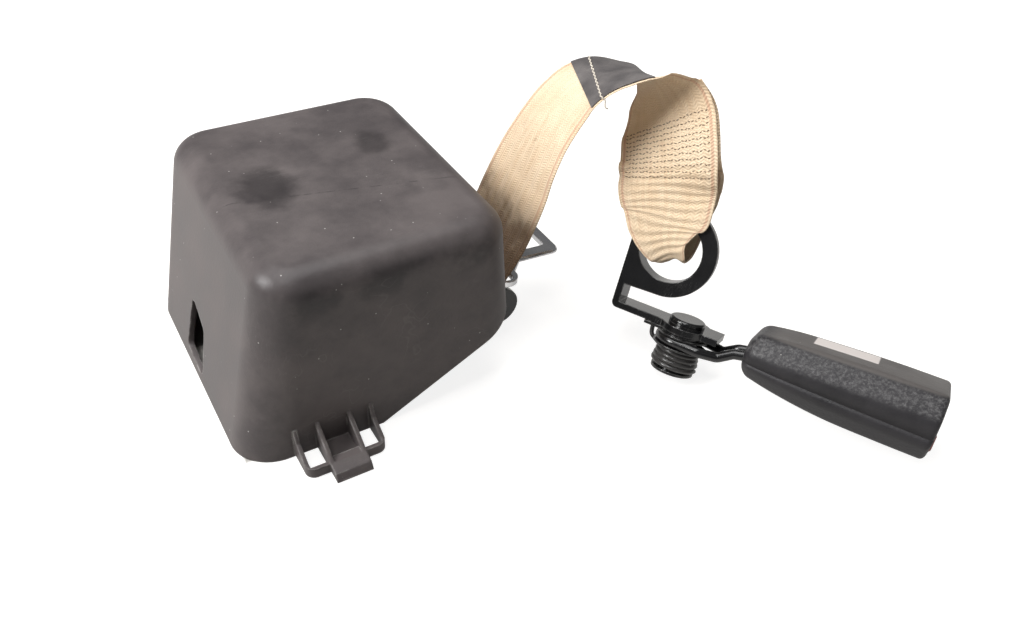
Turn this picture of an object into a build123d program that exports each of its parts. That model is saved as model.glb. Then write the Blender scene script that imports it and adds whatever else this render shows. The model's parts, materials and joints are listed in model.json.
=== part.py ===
from build123d import *
import math
import os

# Seat belt: a short lap belt with its retractor in a moulded cover, a sliding tongue,
# and an anchor bracket that carries a buckle on a wire stalk and a torsion spring.
# Millimetres, +Z up. The origin is the centre of the retractor's foot hole, on the floor.

# Cover
COVER_LENGTH = 126.6
COVER_DEPTH = 127.0
COVER_HEIGHT = 83.0
COVER_WALL = 2.5
COVER_LEFT = -22.5
COVER_FRONT = -52.0
DRAFT_LEFT = 12.6
DRAFT_RIGHT = 5.2
DRAFT_FRONT = 0.3
DRAFT_BACK = 0.3
COVER_CORNER = 17.5
COVER_TOP_EDGE = 11.0
COVER_SEAT = 0.3
COVER_RIGHT = COVER_LEFT + COVER_LENGTH
RIM_RISE_START = 36.3
RIM_RISE = 35.0

# Cover snap clip
CLIP_LEFT = -2.0
CLIP_WIDTH = 33.6
CLIP_REACH = 14.5
CLIP_WALL = 1.8
CLIP_BAND = 4.6
CLIP_CORE = 15.2
CLIP_RIB_HEIGHT = 14.0
CATCH_REACH = 6.5
CLIP_FOOT = 0.3

# Webbing
WEB_WIDTH = 47.0
WEB_THICK = 1.2
LABEL_THICK = 0.5
WEB_PLAY = 3.0
MOUTH_X = COVER_RIGHT - 14.1
GUIDE_DEPTH = 14.0
GUIDE_HEIGHT = 12.6
LOOP_TOP = 54.0
LOOP_BOTTOM = 24.0
LOOP_PLY = 1.6
LOOP_GAP = 0.97
LOOP_LEAN = 22.0

# Retractor frame
SHEET = 2.5
FRAME_INNER = WEB_WIDTH + WEB_PLAY
FRAME_LEFT = 4.0
FRAME_RIGHT = 72.0
FRAME_TOP = COVER_HEIGHT - COVER_WALL - COVER_SEAT
FOOT_REACH = 14.0
FOOT_HOLE = 11.5
SPOOL_X = 38.0
SPOOL_Z = 46.0
NOSE_X = COVER_RIGHT + 0.9
NOSE_Z = 18.0
NOSE_RADIUS = 9.7

# Spool and what turns with it
CORE_RADIUS = 12.0
ROLL_RADIUS = 27.0
FLANGE_RADIUS = 29.0
FLANGE_THICK = 1.1
AXLE_RADIUS = 5.0
RUNNING_GAP = 0.05
SIDE_GAP = 0.3
BUSH_WALL = 3.0
BUSH_FLANGE = 1.5

# Lock side
RATCHET_RADIUS = 17.0
RATCHET_ROOT = 13.8
RATCHET_TEETH = 20
RATCHET_THICK = 4.0
DISC_RADIUS = 19.0
DISC_THICK = 3.0
DISC_TEETH = 36
PAWL_X = 57.5
PAWL_Z = 23.0
PAWL_PIN = 2.5
LOCK_COVER_DEPTH = 20.0
BALL_RADIUS = 5.5

# Spring side
SPRING_CASE_RADIUS = 29.0
SPRING_CASE_DEPTH = 13.0
EAR_REACH = 3.4
CASE_WALL = 1.6
SPRING_STRIP = 0.5
SPRING_PITCH = 1.8
SPRING_TURNS = 8
SPRING_STEPS = 14

# Anchor group: its own frame leans back and is turned toward the viewer
ANCHOR_AT = (MOUTH_X + 79.0, -81.4, 24.0)
ANCHOR_HEADING = -61.4
ANCHOR_LEAN = 24.0
PLATE = 3.0
RING_X = -16.0
RING_Y = -4.5
RING_Z = 29.5
RING_HOLE = 14.0
RING_RADIUS = 20.5
COLLAR_DEPTH = 5.0
RIM_DEPTH = PLATE + COLLAR_DEPTH
ARM_X = -34.0
ARM_WIDTH = 12.0
STRAP_END_RADIUS = 11.5
BOLT_BORE = 11.5
BOLT_DEPTH = 18.0
BUSH_SHANK = 7.3
BUSH_HEAD = 8.0
BUSH_HEAD_THICK = 2.6
BUSH_LENGTH = 22.0
COIL_RADIUS = 7.5
COIL_SPREAD = 1.2
COIL_WIRE = 2.0
COIL_TURNS = 3.5
COIL_STEPS = 16
WASHER = 0.8
INDEX_PLATE = 1.4
ROD = 4.4
ROD_EYE_Z = -PLATE - INDEX_PLATE - WASHER - ROD / 2

# Buckle
BOOT_START = 30.0
BOOT_LENGTH = 77.0
BOOT_WIDTH = 42.0
BOOT_THICK = 28.0
BOOT_REAR_WIDTH = 36.0
BOOT_REAR_THICK = 18.0
BOOT_BEVEL = 8.0
BOOT_WALL = 2.2
BOOT_REAR_Z = -2.5
BOOT_FRONT_Z = 1.0
TONGUE_BLADE = 25.0
TONGUE_THICK = 2.6
TONGUE_REACH = 36.0
TONGUE_SLOT = 6.0
TONGUE_HEEL = 12.0
TONGUE_BAR = 1.6
TONGUE_AT = (MOUTH_X + 20.4, -1.2, 29.5)
TONGUE_DIP = 4.0
BOOT_END = BOOT_START + BOOT_LENGTH
GUIDE_START = BOOT_START + 20.5
GUIDE_END = BOOT_END - 19.0
PIN_X = BOOT_START + 26.0
PIN_Z = 3.0
PIN_RADIUS = 1.75
LEG_SPREAD = 5.0
LEG_Z = ROD_EYE_Z + 6.0

ANCHOR = Plane(
    origin=ANCHOR_AT,
    x_dir=Vector(1, 0, 0).rotate(Axis.Z, ANCHOR_HEADING),
    z_dir=Vector(0, -math.sin(math.radians(-ANCHOR_LEAN)), math.cos(math.radians(ANCHOR_LEAN))).rotate(
        Axis.Z, ANCHOR_HEADING
    ),
)


def tan(degrees):
    """Tangent of an angle in degrees."""
    return math.tan(math.radians(degrees))


def save(node, shape):
    """Write one node's solids to parts/."""
    export_step(shape, f"parts/{node}.step")


def turned(shape, x, z):
    """Lay a shape made along Z down along +Y at the given x and z."""
    return Pos(x, 0, z) * Rot(-90, 0, 0) * shape


def disc(radius, y0, y1, x=SPOOL_X, z=SPOOL_Z):
    """A round bar along Y between two y values."""
    return turned(Pos(0, 0, (y0 + y1) / 2) * Cylinder(radius, y1 - y0), x, z)


def in_anchor(shape):
    """Move a shape from the anchor group's own frame into the part's frame."""
    return ANCHOR.location * shape


# Cover


def cover_side(z, inset):
    """Left and right edge of the cover at a height, moved inwards by inset."""
    return COVER_LEFT + tan(DRAFT_LEFT) * z + inset, COVER_RIGHT - tan(DRAFT_RIGHT) * z - inset


def cover_depth(z, inset):
    """Front and back edge of the cover at a height, moved inwards by inset."""
    back = COVER_FRONT + COVER_DEPTH
    return COVER_FRONT + tan(DRAFT_FRONT) * z + inset, back - tan(DRAFT_BACK) * z - inset


def drafted_profile(edges, bottom, top, inset):
    """Four-sided profile whose two sides lean in by their draft."""
    low = edges(bottom, inset)
    high = edges(top, inset)
    return Polygon((low[0], bottom), (low[1], bottom), (high[1], top), (high[0], top), align=None)


def cover_form(inset, bottom):
    """The drafted, round-edged body of the cover, or the space inside it."""
    top = COVER_HEIGHT - inset
    across = extrude(Plane.XZ * drafted_profile(cover_side, bottom, top, inset), 2 * COVER_DEPTH, both=True)
    along = extrude(Plane.YZ * drafted_profile(cover_depth, bottom, top, inset), 2 * COVER_LENGTH, both=True)
    body = across & along
    uprights = body.edges().filter_by(lambda edge: abs((edge @ 0).Z - (edge @ 1).Z) > 1)
    body = fillet(uprights, COVER_CORNER - inset)
    rim = body.edges().group_by(Axis.Z)[-1]
    return fillet(rim, COVER_TOP_EDGE - inset)


def clip_plate(outline, x):
    """An upright plate of the clip, one wall thick, from its outline seen from the right."""
    plate = extrude(Plane.YZ * Polygon(*outline, align=None), CLIP_WALL, dir=(1, 0, 0))
    return Pos(x, 0, 0) * plate


def snap_clip():
    """Catch at the front rim: two window frames, a core between two ribs, and the catch block."""
    side = (CLIP_WIDTH - CLIP_CORE) / 2
    high = CLIP_RIB_HEIGHT
    clip = Box(CLIP_WIDTH, CLIP_REACH, CLIP_BAND, align=(Align.MIN, Align.MAX, Align.MIN))
    clip = fillet(clip.edges().filter_by(Axis.Z).group_by(Axis.Y)[0], 4)
    window = Box(side - CLIP_WALL, CLIP_REACH - CLIP_WALL, 3 * CLIP_BAND, align=(Align.MIN, Align.MAX, Align.CENTER))
    clip -= Pos(CLIP_WALL, 0, 0) * window
    clip -= Pos(CLIP_WIDTH - side, 0, 0) * window
    channel = Box(CLIP_CORE - 2 * CLIP_WALL, CLIP_REACH - 2 * CLIP_WALL, CLIP_BAND,
                  align=(Align.CENTER, Align.MAX, Align.MIN))
    clip -= Pos(CLIP_WIDTH / 2, 0, CLIP_WALL) * channel
    inner = [(0, 0), (-CLIP_REACH, 0), (-CLIP_REACH, CLIP_BAND), (-0.3, high), (2, high), (2, 0)]
    outer = [(0, 0), (4 - CLIP_REACH, 0), (4 - CLIP_REACH, CLIP_BAND), (-3, high - 5), (-0.3, high), (2, high), (2, 0)]
    for outline, x in ((outer, 0), (inner, side), (inner, CLIP_WIDTH - side - CLIP_WALL), (outer, CLIP_WIDTH - CLIP_WALL)):
        clip += clip_plate(outline, x)
    reach = CLIP_REACH - 0.01
    catch = Polygon((-reach, 0), (-reach - CATCH_REACH, 0), (-reach - CATCH_REACH + 2, 3), (-reach, CLIP_BAND), align=None)
    clip += Pos(side, 0, 0) * extrude(Plane.YZ * catch, CLIP_CORE, dir=(1, 0, 0))
    return Pos(CLIP_LEFT, COVER_FRONT, CLIP_FOOT) * clip


def side_slot():
    """The teardrop slot cut through the left wall."""
    corners = Polygon((24.5, 32), (7.5, 26), (5, 3), (27, 5), align=None)
    face = fillet(corners.vertices(), 3.5)
    return Pos(COVER_LEFT - 10, 0, 0) * extrude(Plane.YZ * face, 26)


def make_cover():
    """The moulded cover, open below and cut up at its right end for the webbing."""
    shell = cover_form(0, 0) - cover_form(COVER_WALL, -0.5)
    wedge = Polygon((RIM_RISE_START, -1), (RIM_RISE_START, 0), (COVER_RIGHT, RIM_RISE),
                    (COVER_RIGHT + 20, RIM_RISE + 10), (COVER_RIGHT + 20, -1), align=None)
    cut = extrude(Plane.XZ * wedge, COVER_DEPTH * 2, both=True)
    shell -= cut
    shell -= side_slot()
    clip = snap_clip() - cover_form(COVER_WALL / 2, -1)
    return shell + clip


# Retractor frame


def cheek_face():
    """Outline of one cheek: a tall plate with a rounded nose that reaches out to the right."""
    plate = Polygon((FRAME_LEFT, 0), (FRAME_RIGHT + 6, 0), (NOSE_X, NOSE_Z - NOSE_RADIUS),
                    (NOSE_X, NOSE_Z + 4), (NOSE_X - 18, NOSE_Z + 4), (FRAME_RIGHT, 34), (FRAME_RIGHT - 4, FRAME_TOP),
                    (FRAME_LEFT + 6, FRAME_TOP), (FRAME_LEFT - 2, 30), align=None)
    corners = plate.vertices().filter_by_position(Axis.Y, 5, FRAME_TOP + 1)
    corners = corners.filter_by_position(Axis.X, FRAME_LEFT - 3, NOSE_X - 1)
    plate = fillet(corners, 6)
    plate += Pos(NOSE_X, NOSE_Z) * Circle(NOSE_RADIUS)
    plate -= Pos(SPOOL_X, SPOOL_Z) * Circle(AXLE_RADIUS + BUSH_WALL)
    plate -= Pos(NOSE_X - 21, 14) * SlotOverall(16, 6)
    plate -= Pos(SPOOL_X, FRAME_TOP - 6) * SlotOverall(18, 5)
    return plate


def tie_places():
    """Centres of the two tie bars in the cheeks, as x and z."""
    return [(FRAME_LEFT + 9, FRAME_TOP - 9), (FRAME_RIGHT - 10, FRAME_TOP - 9)]


def make_frame():
    """The steel U frame: base with a foot, and two cheeks."""
    half = FRAME_INNER / 2
    base_left = -FOOT_REACH
    base = Box(FRAME_RIGHT + 6 - base_left, FRAME_INNER + 2 * SHEET, SHEET, align=(Align.MIN, Align.CENTER, Align.MIN))
    base = Pos(base_left, 0, 0) * base
    base = fillet(base.edges().filter_by(Axis.Z).group_by(Axis.X)[0], 12)
    cheek = cheek_face()
    for x, z in tie_places():
        cheek -= Pos(x, z) * Circle(2.5)
    near = extrude(Plane.XZ.offset(half) * cheek, SHEET)
    far = extrude(Plane.XZ.offset(-half - SHEET) * cheek, SHEET)
    frame = base + near + far
    frame -= Cylinder(FOOT_HOLE / 2, 20)
    frame -= Pos(SPOOL_X, 0, 0) * Box(30, 26, 20)
    return frame


def make_tie_bars():
    """Two shouldered bars, riveted over outside the cheeks."""
    half = FRAME_INNER / 2
    profile = Polygon((0, -half - SHEET - 1.4), (4, -half - SHEET - 1.4), (4, -half - SHEET), (2.5, -half - SHEET),
                      (2.5, -half), (3.8, -half), (3.8, half), (2.5, half), (2.5, half + SHEET), (4, half + SHEET),
                      (4, half + SHEET + 1.4), (0, half + SHEET + 1.4), align=None)
    bar = revolve(Plane.XZ * profile, Axis.Z)
    return Compound([turned(bar, x, z) for x, z in tie_places()])


def make_bearing(side):
    """A flanged plastic bush in one cheek; side is -1 for the near cheek and 1 for the far one."""
    half = FRAME_INNER / 2
    bore = AXLE_RADIUS + RUNNING_GAP
    outer = AXLE_RADIUS + BUSH_WALL
    y = sorted((side * half, side * (half + SHEET)))
    bush = disc(outer, y[0], y[1])
    y = sorted((side * (half + SHEET), side * (half + SHEET + BUSH_FLANGE)))
    bush += disc(outer + 2.5, y[0], y[1])
    return bush - disc(bore, -60, 60)


# Spool


def make_spool():
    """Core with two side flanges and light ribs between core and bore."""
    inner = WEB_WIDTH / 2 + 0.1
    core = disc(CORE_RADIUS, -inner, inner)
    for side in (-1, 1):
        y = sorted((side * inner, side * (inner + FLANGE_THICK)))
        core += disc(FLANGE_RADIUS, y[0], y[1])
    return core - disc(AXLE_RADIUS, -60, 60)


def make_roll():
    """The wound webbing on the core."""
    return disc(ROLL_RADIUS, -WEB_WIDTH / 2, WEB_WIDTH / 2) - disc(CORE_RADIUS, -60, 60)


def make_axle():
    """The axle through both bearings, with flats at the spring end."""
    half = FRAME_INNER / 2 + SHEET
    axle = disc(AXLE_RADIUS, -half - SPRING_CASE_DEPTH + 1, half + 14)
    return axle


def toothed(radius, root, teeth, thick):
    """A ratchet outline: each tooth has one steep and one slow flank."""
    points = []
    for i in range(teeth):
        a = 2 * math.pi * i / teeth
        b = a + 2 * math.pi / teeth * 0.55
        points.append((radius * math.cos(a), radius * math.sin(a)))
        points.append((root * math.cos(a + 0.02), root * math.sin(a + 0.02)))
        points.append((root * math.cos(b), root * math.sin(b)))
    return extrude(Polygon(*points, align=None), thick)


def make_ratchet():
    """Steel lock wheel on the axle, outside the far cheek."""
    y0 = FRAME_INNER / 2 + SHEET + BUSH_FLANGE + SIDE_GAP
    wheel = toothed(RATCHET_RADIUS, RATCHET_ROOT, RATCHET_TEETH, RATCHET_THICK)
    wheel = Rot(0, 0, -10) * wheel
    return turned(Pos(0, 0, y0) * wheel, SPOOL_X, SPOOL_Z) - disc(AXLE_RADIUS, -60, 60)


def make_sensor_disc():
    """Fine-toothed plastic disc next to the lock wheel."""
    y0 = FRAME_INNER / 2 + SHEET + BUSH_FLANGE + SIDE_GAP + RATCHET_THICK
    wheel = toothed(DISC_RADIUS, DISC_RADIUS - 1.6, DISC_TEETH, DISC_THICK)
    return turned(Pos(0, 0, y0) * wheel, SPOOL_X, SPOOL_Z) - disc(AXLE_RADIUS, -60, 60)


def make_pawl():
    """The lock pawl: an arm from its pin up to a tooth beside the lock wheel."""
    y0 = FRAME_INNER / 2 + SHEET + BUSH_FLANGE + SIDE_GAP
    tip_x = SPOOL_X + RATCHET_RADIUS + 1.4
    tip_z = SPOOL_Z - 3
    arm = make_hull([*(Pos(PAWL_X, PAWL_Z) * Circle(5.5)).edges(), *(Pos(tip_x + 3, tip_z - 2.4) * Circle(2.2)).edges()])
    tooth = Polygon((tip_x, tip_z + 0.8), (tip_x, tip_z - 0.8), (tip_x + 3, tip_z - 4), (tip_x + 3.6, tip_z - 0.4),
                    align=None)
    face = arm + tooth - Pos(PAWL_X, PAWL_Z) * Circle(PAWL_PIN + RUNNING_GAP)
    return extrude(Plane.XZ.offset(-y0 - RATCHET_THICK) * face, RATCHET_THICK)


def make_pawl_pin():
    """Pin riveted in the far cheek, with a head that keeps the pawl on."""
    y0 = FRAME_INNER / 2 + SHEET
    head = y0 + BUSH_FLANGE + 2 * SIDE_GAP + RATCHET_THICK
    return disc(PAWL_PIN, y0, head, PAWL_X, PAWL_Z) + disc(4, head, head + 1.2, PAWL_X, PAWL_Z)


def make_sensor_seat():
    """The cup that holds the sensing ball, with a bracket for the lever's pivot."""
    y0 = FRAME_INNER / 2 + SHEET
    seat = Pos(30, y0 + 7.5, 5.5) * Box(22, 15, 5)
    seat -= Pos(31, y0 + 8, 8 + 8) * Sphere(BALL_RADIUS + 4.2)
    post = Pos(21.5, y0 + 7.5, 12) * Box(4, 15, 16)
    post -= Pos(21.5, y0 + 7.5, 18) * Box(5, 9, 8)
    seat += post
    return seat - disc(1.05, 0, 60, 21.5, 17.5)


def make_sensor_ball():
    """Steel ball that rolls up its cup when the vehicle brakes."""
    y0 = FRAME_INNER / 2 + SHEET
    chords = [(BALL_RADIUS * math.sin(math.pi * i / 12), BALL_RADIUS * math.cos(math.pi * i / 12)) for i in range(13)]
    ball = revolve(Plane.XZ * Polygon(*chords, align=None), Axis.Z)
    return Pos(31, y0 + 8, 16 - 4.1) * ball


def make_sensor_lever():
    """Lever that lies over the ball and lifts into the fine-toothed disc."""
    y0 = FRAME_INNER / 2 + SHEET
    hub = disc(2.4, y0 + 3.5, y0 + 11.5, 21.5, 17.5)
    face = Polygon((22, 17), (42, 20), (43, 25.5), (41.5, 25.5), (40, 21.6), (22, 19.4), align=None)
    arm = extrude(Plane.XZ.offset(-y0 - 11) * face, 7)
    return hub + arm - disc(1.05, 0, 60, 21.5, 17.5)


def make_lever_pin():
    """Pivot pin of the sensing lever."""
    y0 = FRAME_INNER / 2 + SHEET
    return disc(1.0, y0 + 0.5, y0 + 14.5, 21.5, 17.5)


def lock_outline(grow):
    """Outline of the lock cover: round over the wheels, square over the sensor."""
    top = (Pos(SPOOL_X, SPOOL_Z) * Circle(23 + grow)).edges()
    low = (Pos(41, 17) * Rectangle(54 + 2 * grow, 32.4 + 2 * grow)).edges()
    return make_hull([*top, *low])


def make_lock_cover():
    """Plastic cap over the lock and sensor parts."""
    y0 = FRAME_INNER / 2 + SHEET
    outer = extrude(Plane.XZ.offset(-y0 - LOCK_COVER_DEPTH) * lock_outline(0), LOCK_COVER_DEPTH)
    inner = extrude(Plane.XZ.offset(-y0 - LOCK_COVER_DEPTH + CASE_WALL) * lock_outline(-CASE_WALL), LOCK_COVER_DEPTH)
    return outer - inner


# Spring side


def make_spring_case():
    """Round plastic cup with three screw ears, on the near cheek."""
    y1 = -FRAME_INNER / 2 - SHEET
    y0 = y1 - SPRING_CASE_DEPTH
    case = disc(SPRING_CASE_RADIUS, y0, y1)
    for angle in (30, 150, 270):
        x = SPOOL_X + (SPRING_CASE_RADIUS + EAR_REACH) * math.cos(math.radians(angle))
        z = SPOOL_Z + (SPRING_CASE_RADIUS + EAR_REACH) * math.sin(math.radians(angle))
        case += disc(4, y1 - 4, y1, x, z)
    case -= disc(SPRING_CASE_RADIUS - CASE_WALL, y0 - 1, y1 - CASE_WALL - BUSH_FLANGE)
    case -= disc(AXLE_RADIUS + BUSH_WALL + 2.5, y0 - 1, y1 + 1)
    for x, z in tie_places():
        case -= disc(5, y1 - 2, y1 + 1, x, z)
    return case


def make_spring_cap():
    """Lid of the spring case with a shallow boss."""
    y1 = -FRAME_INNER / 2 - SHEET - SPRING_CASE_DEPTH
    cap = disc(SPRING_CASE_RADIUS, y1 - 1.8, y1)
    return cap + disc(9, y1 - 3.2, y1 - 1.8)


def make_clock_spring():
    """Flat spiral strip that winds out from the arbor, as short straight lengths."""
    y1 = -FRAME_INNER / 2 - SHEET - SPRING_CASE_DEPTH
    first = AXLE_RADIUS + 3.6
    edges = []
    for grow in (-SPRING_STRIP / 2, SPRING_STRIP / 2):
        edge = []
        for i in range(SPRING_TURNS * SPRING_STEPS + 1):
            turn = i / SPRING_STEPS
            radius = first + turn * SPRING_PITCH + grow
            edge.append((radius * math.cos(2 * math.pi * turn), radius * math.sin(2 * math.pi * turn)))
        edges.append(edge)
    face = Polygon(*edges[0], *reversed(edges[1]), align=None)
    strip = extrude(face, SPRING_CASE_DEPTH - CASE_WALL - BUSH_FLANGE - 1.2, dir=(0, 0, 1))
    return Pos(SPOOL_X, y1 + 0.5, SPOOL_Z) * Rot(-90, 0, 0) * strip


def make_arbor():
    """Hub on the axle that carries the inner end of the spiral spring."""
    y1 = -FRAME_INNER / 2 - SHEET
    hub = disc(AXLE_RADIUS + 3, y1 - SPRING_CASE_DEPTH + 1.2, y1 - BUSH_FLANGE - SIDE_GAP)
    return hub - disc(AXLE_RADIUS, -70, 60)


def make_case_screws():
    """Three screws through the spring case's ears into the cheek."""
    y1 = -FRAME_INNER / 2 - SHEET
    screws = []
    for angle in (30, 150, 270):
        x = SPOOL_X + (SPRING_CASE_RADIUS + EAR_REACH) * math.cos(math.radians(angle))
        z = SPOOL_Z + (SPRING_CASE_RADIUS + EAR_REACH) * math.sin(math.radians(angle))
        screws.append(disc(2.8, y1 - 6, y1 - 4, x, z))
    return Compound(screws)


# Webbing mouth


def make_mouth_guide():
    """Plastic guide between the cheeks, with a slot whose lips flare outwards."""
    body = Box(GUIDE_DEPTH, FRAME_INNER, GUIDE_HEIGHT)
    body = fillet(body.edges().filter_by(Axis.Y), 3)
    slot = Polygon((-8, -1.4), (3, -1.4), (8, -3), (8, 4), (3, 1.4), (-8, 1.4), align=None)
    body -= extrude(Plane.XZ * slot, (WEB_WIDTH + 1.2) / 2, both=True)
    return Pos(MOUTH_X, 0, web_exit_z()) * body


def web_exit_z():
    """Height of the webbing's middle where it leaves the roll."""
    return SPOOL_Z - ROLL_RADIUS - SIDE_GAP - WEB_THICK / 2


# Webbing


def loop_top():
    """Where the strap runs into the end loop, in the anchor group's frame."""
    reach = LOOP_TOP + WEB_THICK - RING_Z
    lean = math.radians(LOOP_LEAN)
    return Vector(RING_X - reach * math.sin(lean), loop_front(), RING_Z + reach * math.cos(lean))


def web_stations():
    """Middle line of the arch: place, heading of the width and its tilt, from roll to ring."""
    z = web_exit_z()
    x = MOUTH_X
    end = ANCHOR.from_local_coords(loop_top())
    return [
        ((SPOOL_X, 0, z), -90, 0),
        ((x - 8, 0, z), -90, 0),
        ((x + 9, 0, z + 0.2), -90, 0),
        ((x + 16.3, 0, z + 4), -90, 0),
        ((x + 21.2, -0.8, 31), -91, 0),
        ((x + 27, -2.8, 43.5), -91, 0),
        ((x + 31.5, -4, 55.5), -91, 0),
        ((x + 36, -4.8, 67.5), -92, 2),
        ((x + 40.5, -5.2, 79), -96, 3),
        ((x + 46.5, -5.5, 90), -99, 5),
        ((x + 53.5, -6.2, 99.6), -102, 5),
        ((x + 60.5, -7.8, 107), -108, 4),
        ((x + 68, -11.2, 111.7), -115, 6),
        ((x + 76.2, -15.9, 113.7), -120, 12.6),
        ((x + 84.1, -20.9, 114), -122, 20),
        ((x + 89.3, -26.4, 110.5), -115, 31),
        ((x + 90.3, -31.7, 103.8), -93, 37),
        ((x + 87.7, -37.1, 97.6), -70, 34),
        ((x + 84, -42.6, 92), -61, 32),
        ((x + 81.3, -47, 86), -59, 30),
        ((x + 80, -50, 80.2), -56, 25),
        ((end.X, end.Y, end.Z), -52, 20),
    ]


def loop_front():
    """How far in front of the ring plate's frame the loop's front ply hangs."""
    return RING_Y - PLATE / 2 - LOOP_GAP - LOOP_PLY / 2


def station_frame(index, stations):
    """Place, width direction and normal of one station."""
    at = Vector(*stations[index][0])
    before = Vector(*stations[max(index - 1, 0)][0])
    after = Vector(*stations[min(index + 1, len(stations) - 1)][0])
    along = (after - before).normalized()
    heading = math.radians(stations[index][1])
    tilt = math.radians(stations[index][2])
    width = Vector(math.cos(heading) * math.cos(tilt), math.sin(heading) * math.cos(tilt), math.sin(tilt))
    width = (width - along * width.dot(along)).normalized()
    return at, width, along


def band(stations, first, last, width_mm, thick, lift):
    """A twisted band through some stations, lifted off the strap's middle towards its outer face."""
    sections = []
    for index in range(first, last + 1):
        at, width, along = station_frame(index, stations)
        outward = along.cross(width) * -1
        place = Plane(origin=at + outward * lift, x_dir=width, z_dir=along)
        sections.append(place * Rectangle(width_mm, thick))
    return loft(sections, ruled=True)


def make_webbing():
    """The strap from the roll through the mouth and over the arch, as one twisted band."""
    stations = web_stations()
    return band(stations, 0, len(stations) - 1, WEB_WIDTH, WEB_THICK, 0)


def make_label():
    """Cloth label sewn on the outer face near the top of the arch."""
    return band(web_stations(), 11, 14, WEB_WIDTH - 1, LABEL_THICK, (WEB_THICK + LABEL_THICK) / 2)


def make_tail():
    """The sewn end of the strap, which lies on the outer face of the hanging leg."""
    return band(web_stations(), 16, 19, WEB_WIDTH, WEB_THICK, WEB_THICK + 0.1)


def make_end_loop():
    """The end loop: a front ply that narrows into the ring, a round bottom and a back ply."""
    middle = RING_Y - PLATE / 2 + RIM_DEPTH / 2
    reach = RIM_DEPTH / 2 + LOOP_GAP
    bottom = LOOP_BOTTOM + reach + LOOP_PLY
    profile = Pos(middle, bottom) * Circle(reach + LOOP_PLY)
    profile += Pos(middle, (bottom + LOOP_TOP) / 2) * Rectangle(2 * (reach + LOOP_PLY), LOOP_TOP - bottom)
    hollow = Pos(middle, bottom) * Circle(reach)
    hollow += Pos(middle, (bottom + LOOP_TOP) / 2 + 1) * Rectangle(2 * reach, LOOP_TOP - bottom + 2)
    channel = extrude(Plane.YZ * (profile - hollow), WEB_WIDTH / 2, both=True)
    half = WEB_WIDTH / 2
    front = Polygon((-half, LOOP_TOP), (half, LOOP_TOP), (7.5, 43), (7, 33), (6.5, LOOP_BOTTOM), (-6.5, LOOP_BOTTOM),
                    (-7, 33), (-7.5, 43), align=None)
    taper = extrude(Plane.XZ * front, 60, both=True)
    loop = Pos(0, 0, -RING_Z) * (channel & taper)
    return Pos(RING_X, 0, RING_Z) * Rot(0, -LOOP_LEAN, 0) * loop


# Tongue


def make_tongue():
    """Latch plate: a wide heel with the webbing slot, and a blade with the latch window."""
    slot = WEB_WIDTH + WEB_PLAY
    half = slot / 2 + TONGUE_BAR
    heel = Rectangle(TONGUE_HEEL, 2 * half)
    heel = fillet(heel.vertices(), TONGUE_HEEL / 2 - 0.5)
    blade = Pos(TONGUE_REACH / 2, 0) * Rectangle(TONGUE_REACH, TONGUE_BLADE)
    blade = fillet(blade.vertices().group_by(Axis.X)[-1], 4)
    shoulder = TONGUE_BLADE / 2
    neck = Polygon((5, half - 6), (5, 6 - half), (13, -shoulder), (13, shoulder), align=None)
    face = heel + neck + blade
    face -= fillet(Rectangle(TONGUE_SLOT, slot).vertices(), TONGUE_SLOT / 2 - 0.5)
    window = fillet((Pos(TONGUE_REACH - 11, 0) * Rectangle(11, 13)).vertices(), 1.5)
    face -= window
    plate = extrude(face, TONGUE_THICK / 2, both=True)
    plate = chamfer(plate.edges().group_by(Axis.X)[-1].filter_by(Axis.Y), 0.9)
    return Pos(*TONGUE_AT) * Rot(0, TONGUE_DIP, 0) * plate


# Anchor group


def ring_plate_face():
    """Ring plate outline in the ring's own plane: round, with a straight left side."""
    edge = ARM_X
    low = RING_Z - RING_RADIUS
    ring = Pos(RING_X, RING_Z) * Circle(RING_RADIUS)
    ring += Polygon((edge, low - 0.7), (RING_X, low), (RING_X, RING_Z), (edge, RING_Z + 6), align=None)
    return ring - Pos(edge, RING_Z) * Rectangle(10, 3 * RING_RADIUS, align=(Align.MAX, Align.CENTER))


def make_bracket():
    """Stamped anchor bracket: strap, bent arm and ring plate with a rolled collar."""
    strap = Pos(ARM_X / 2, 0) * Rectangle(-ARM_X, ARM_WIDTH)
    strap += Circle(STRAP_END_RADIUS)
    strap += Pos(8, 0) * Rectangle(16, 14)
    strap -= Circle(BUSH_SHANK)
    base = extrude(strap, -PLATE)
    near = RING_Y - PLATE / 2
    arm_height = RING_Z - RING_RADIUS + 5
    arm = Box(PLATE, ARM_WIDTH, arm_height + PLATE, align=(Align.MIN, Align.MIN, Align.MIN))
    arm = Pos(ARM_X, near, -PLATE) * arm
    ring = extrude(Plane.XZ.offset(-near - PLATE) * ring_plate_face(), PLATE)
    collar = Pos(RING_X, near, RING_Z) * Rot(-90, 0, 0) * Cylinder(RING_HOLE + 2.6, COLLAR_DEPTH + PLATE,
                                                                  align=(Align.CENTER, Align.CENTER, Align.MIN))
    bracket = base + arm + ring + collar
    hole = Pos(RING_X, near + 5, RING_Z) * Rot(-90, 0, 0) * Cylinder(RING_HOLE, 40)
    bracket -= hole
    low = bracket.edges().filter_by(Axis.Y).filter_by_position(Axis.Z, -PLATE - 0.1, -PLATE + 0.1)
    low = low.filter_by_position(Axis.X, ARM_X - 0.1, ARM_X + 0.1)
    bracket = fillet(low, 2.5)
    return bracket


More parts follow.
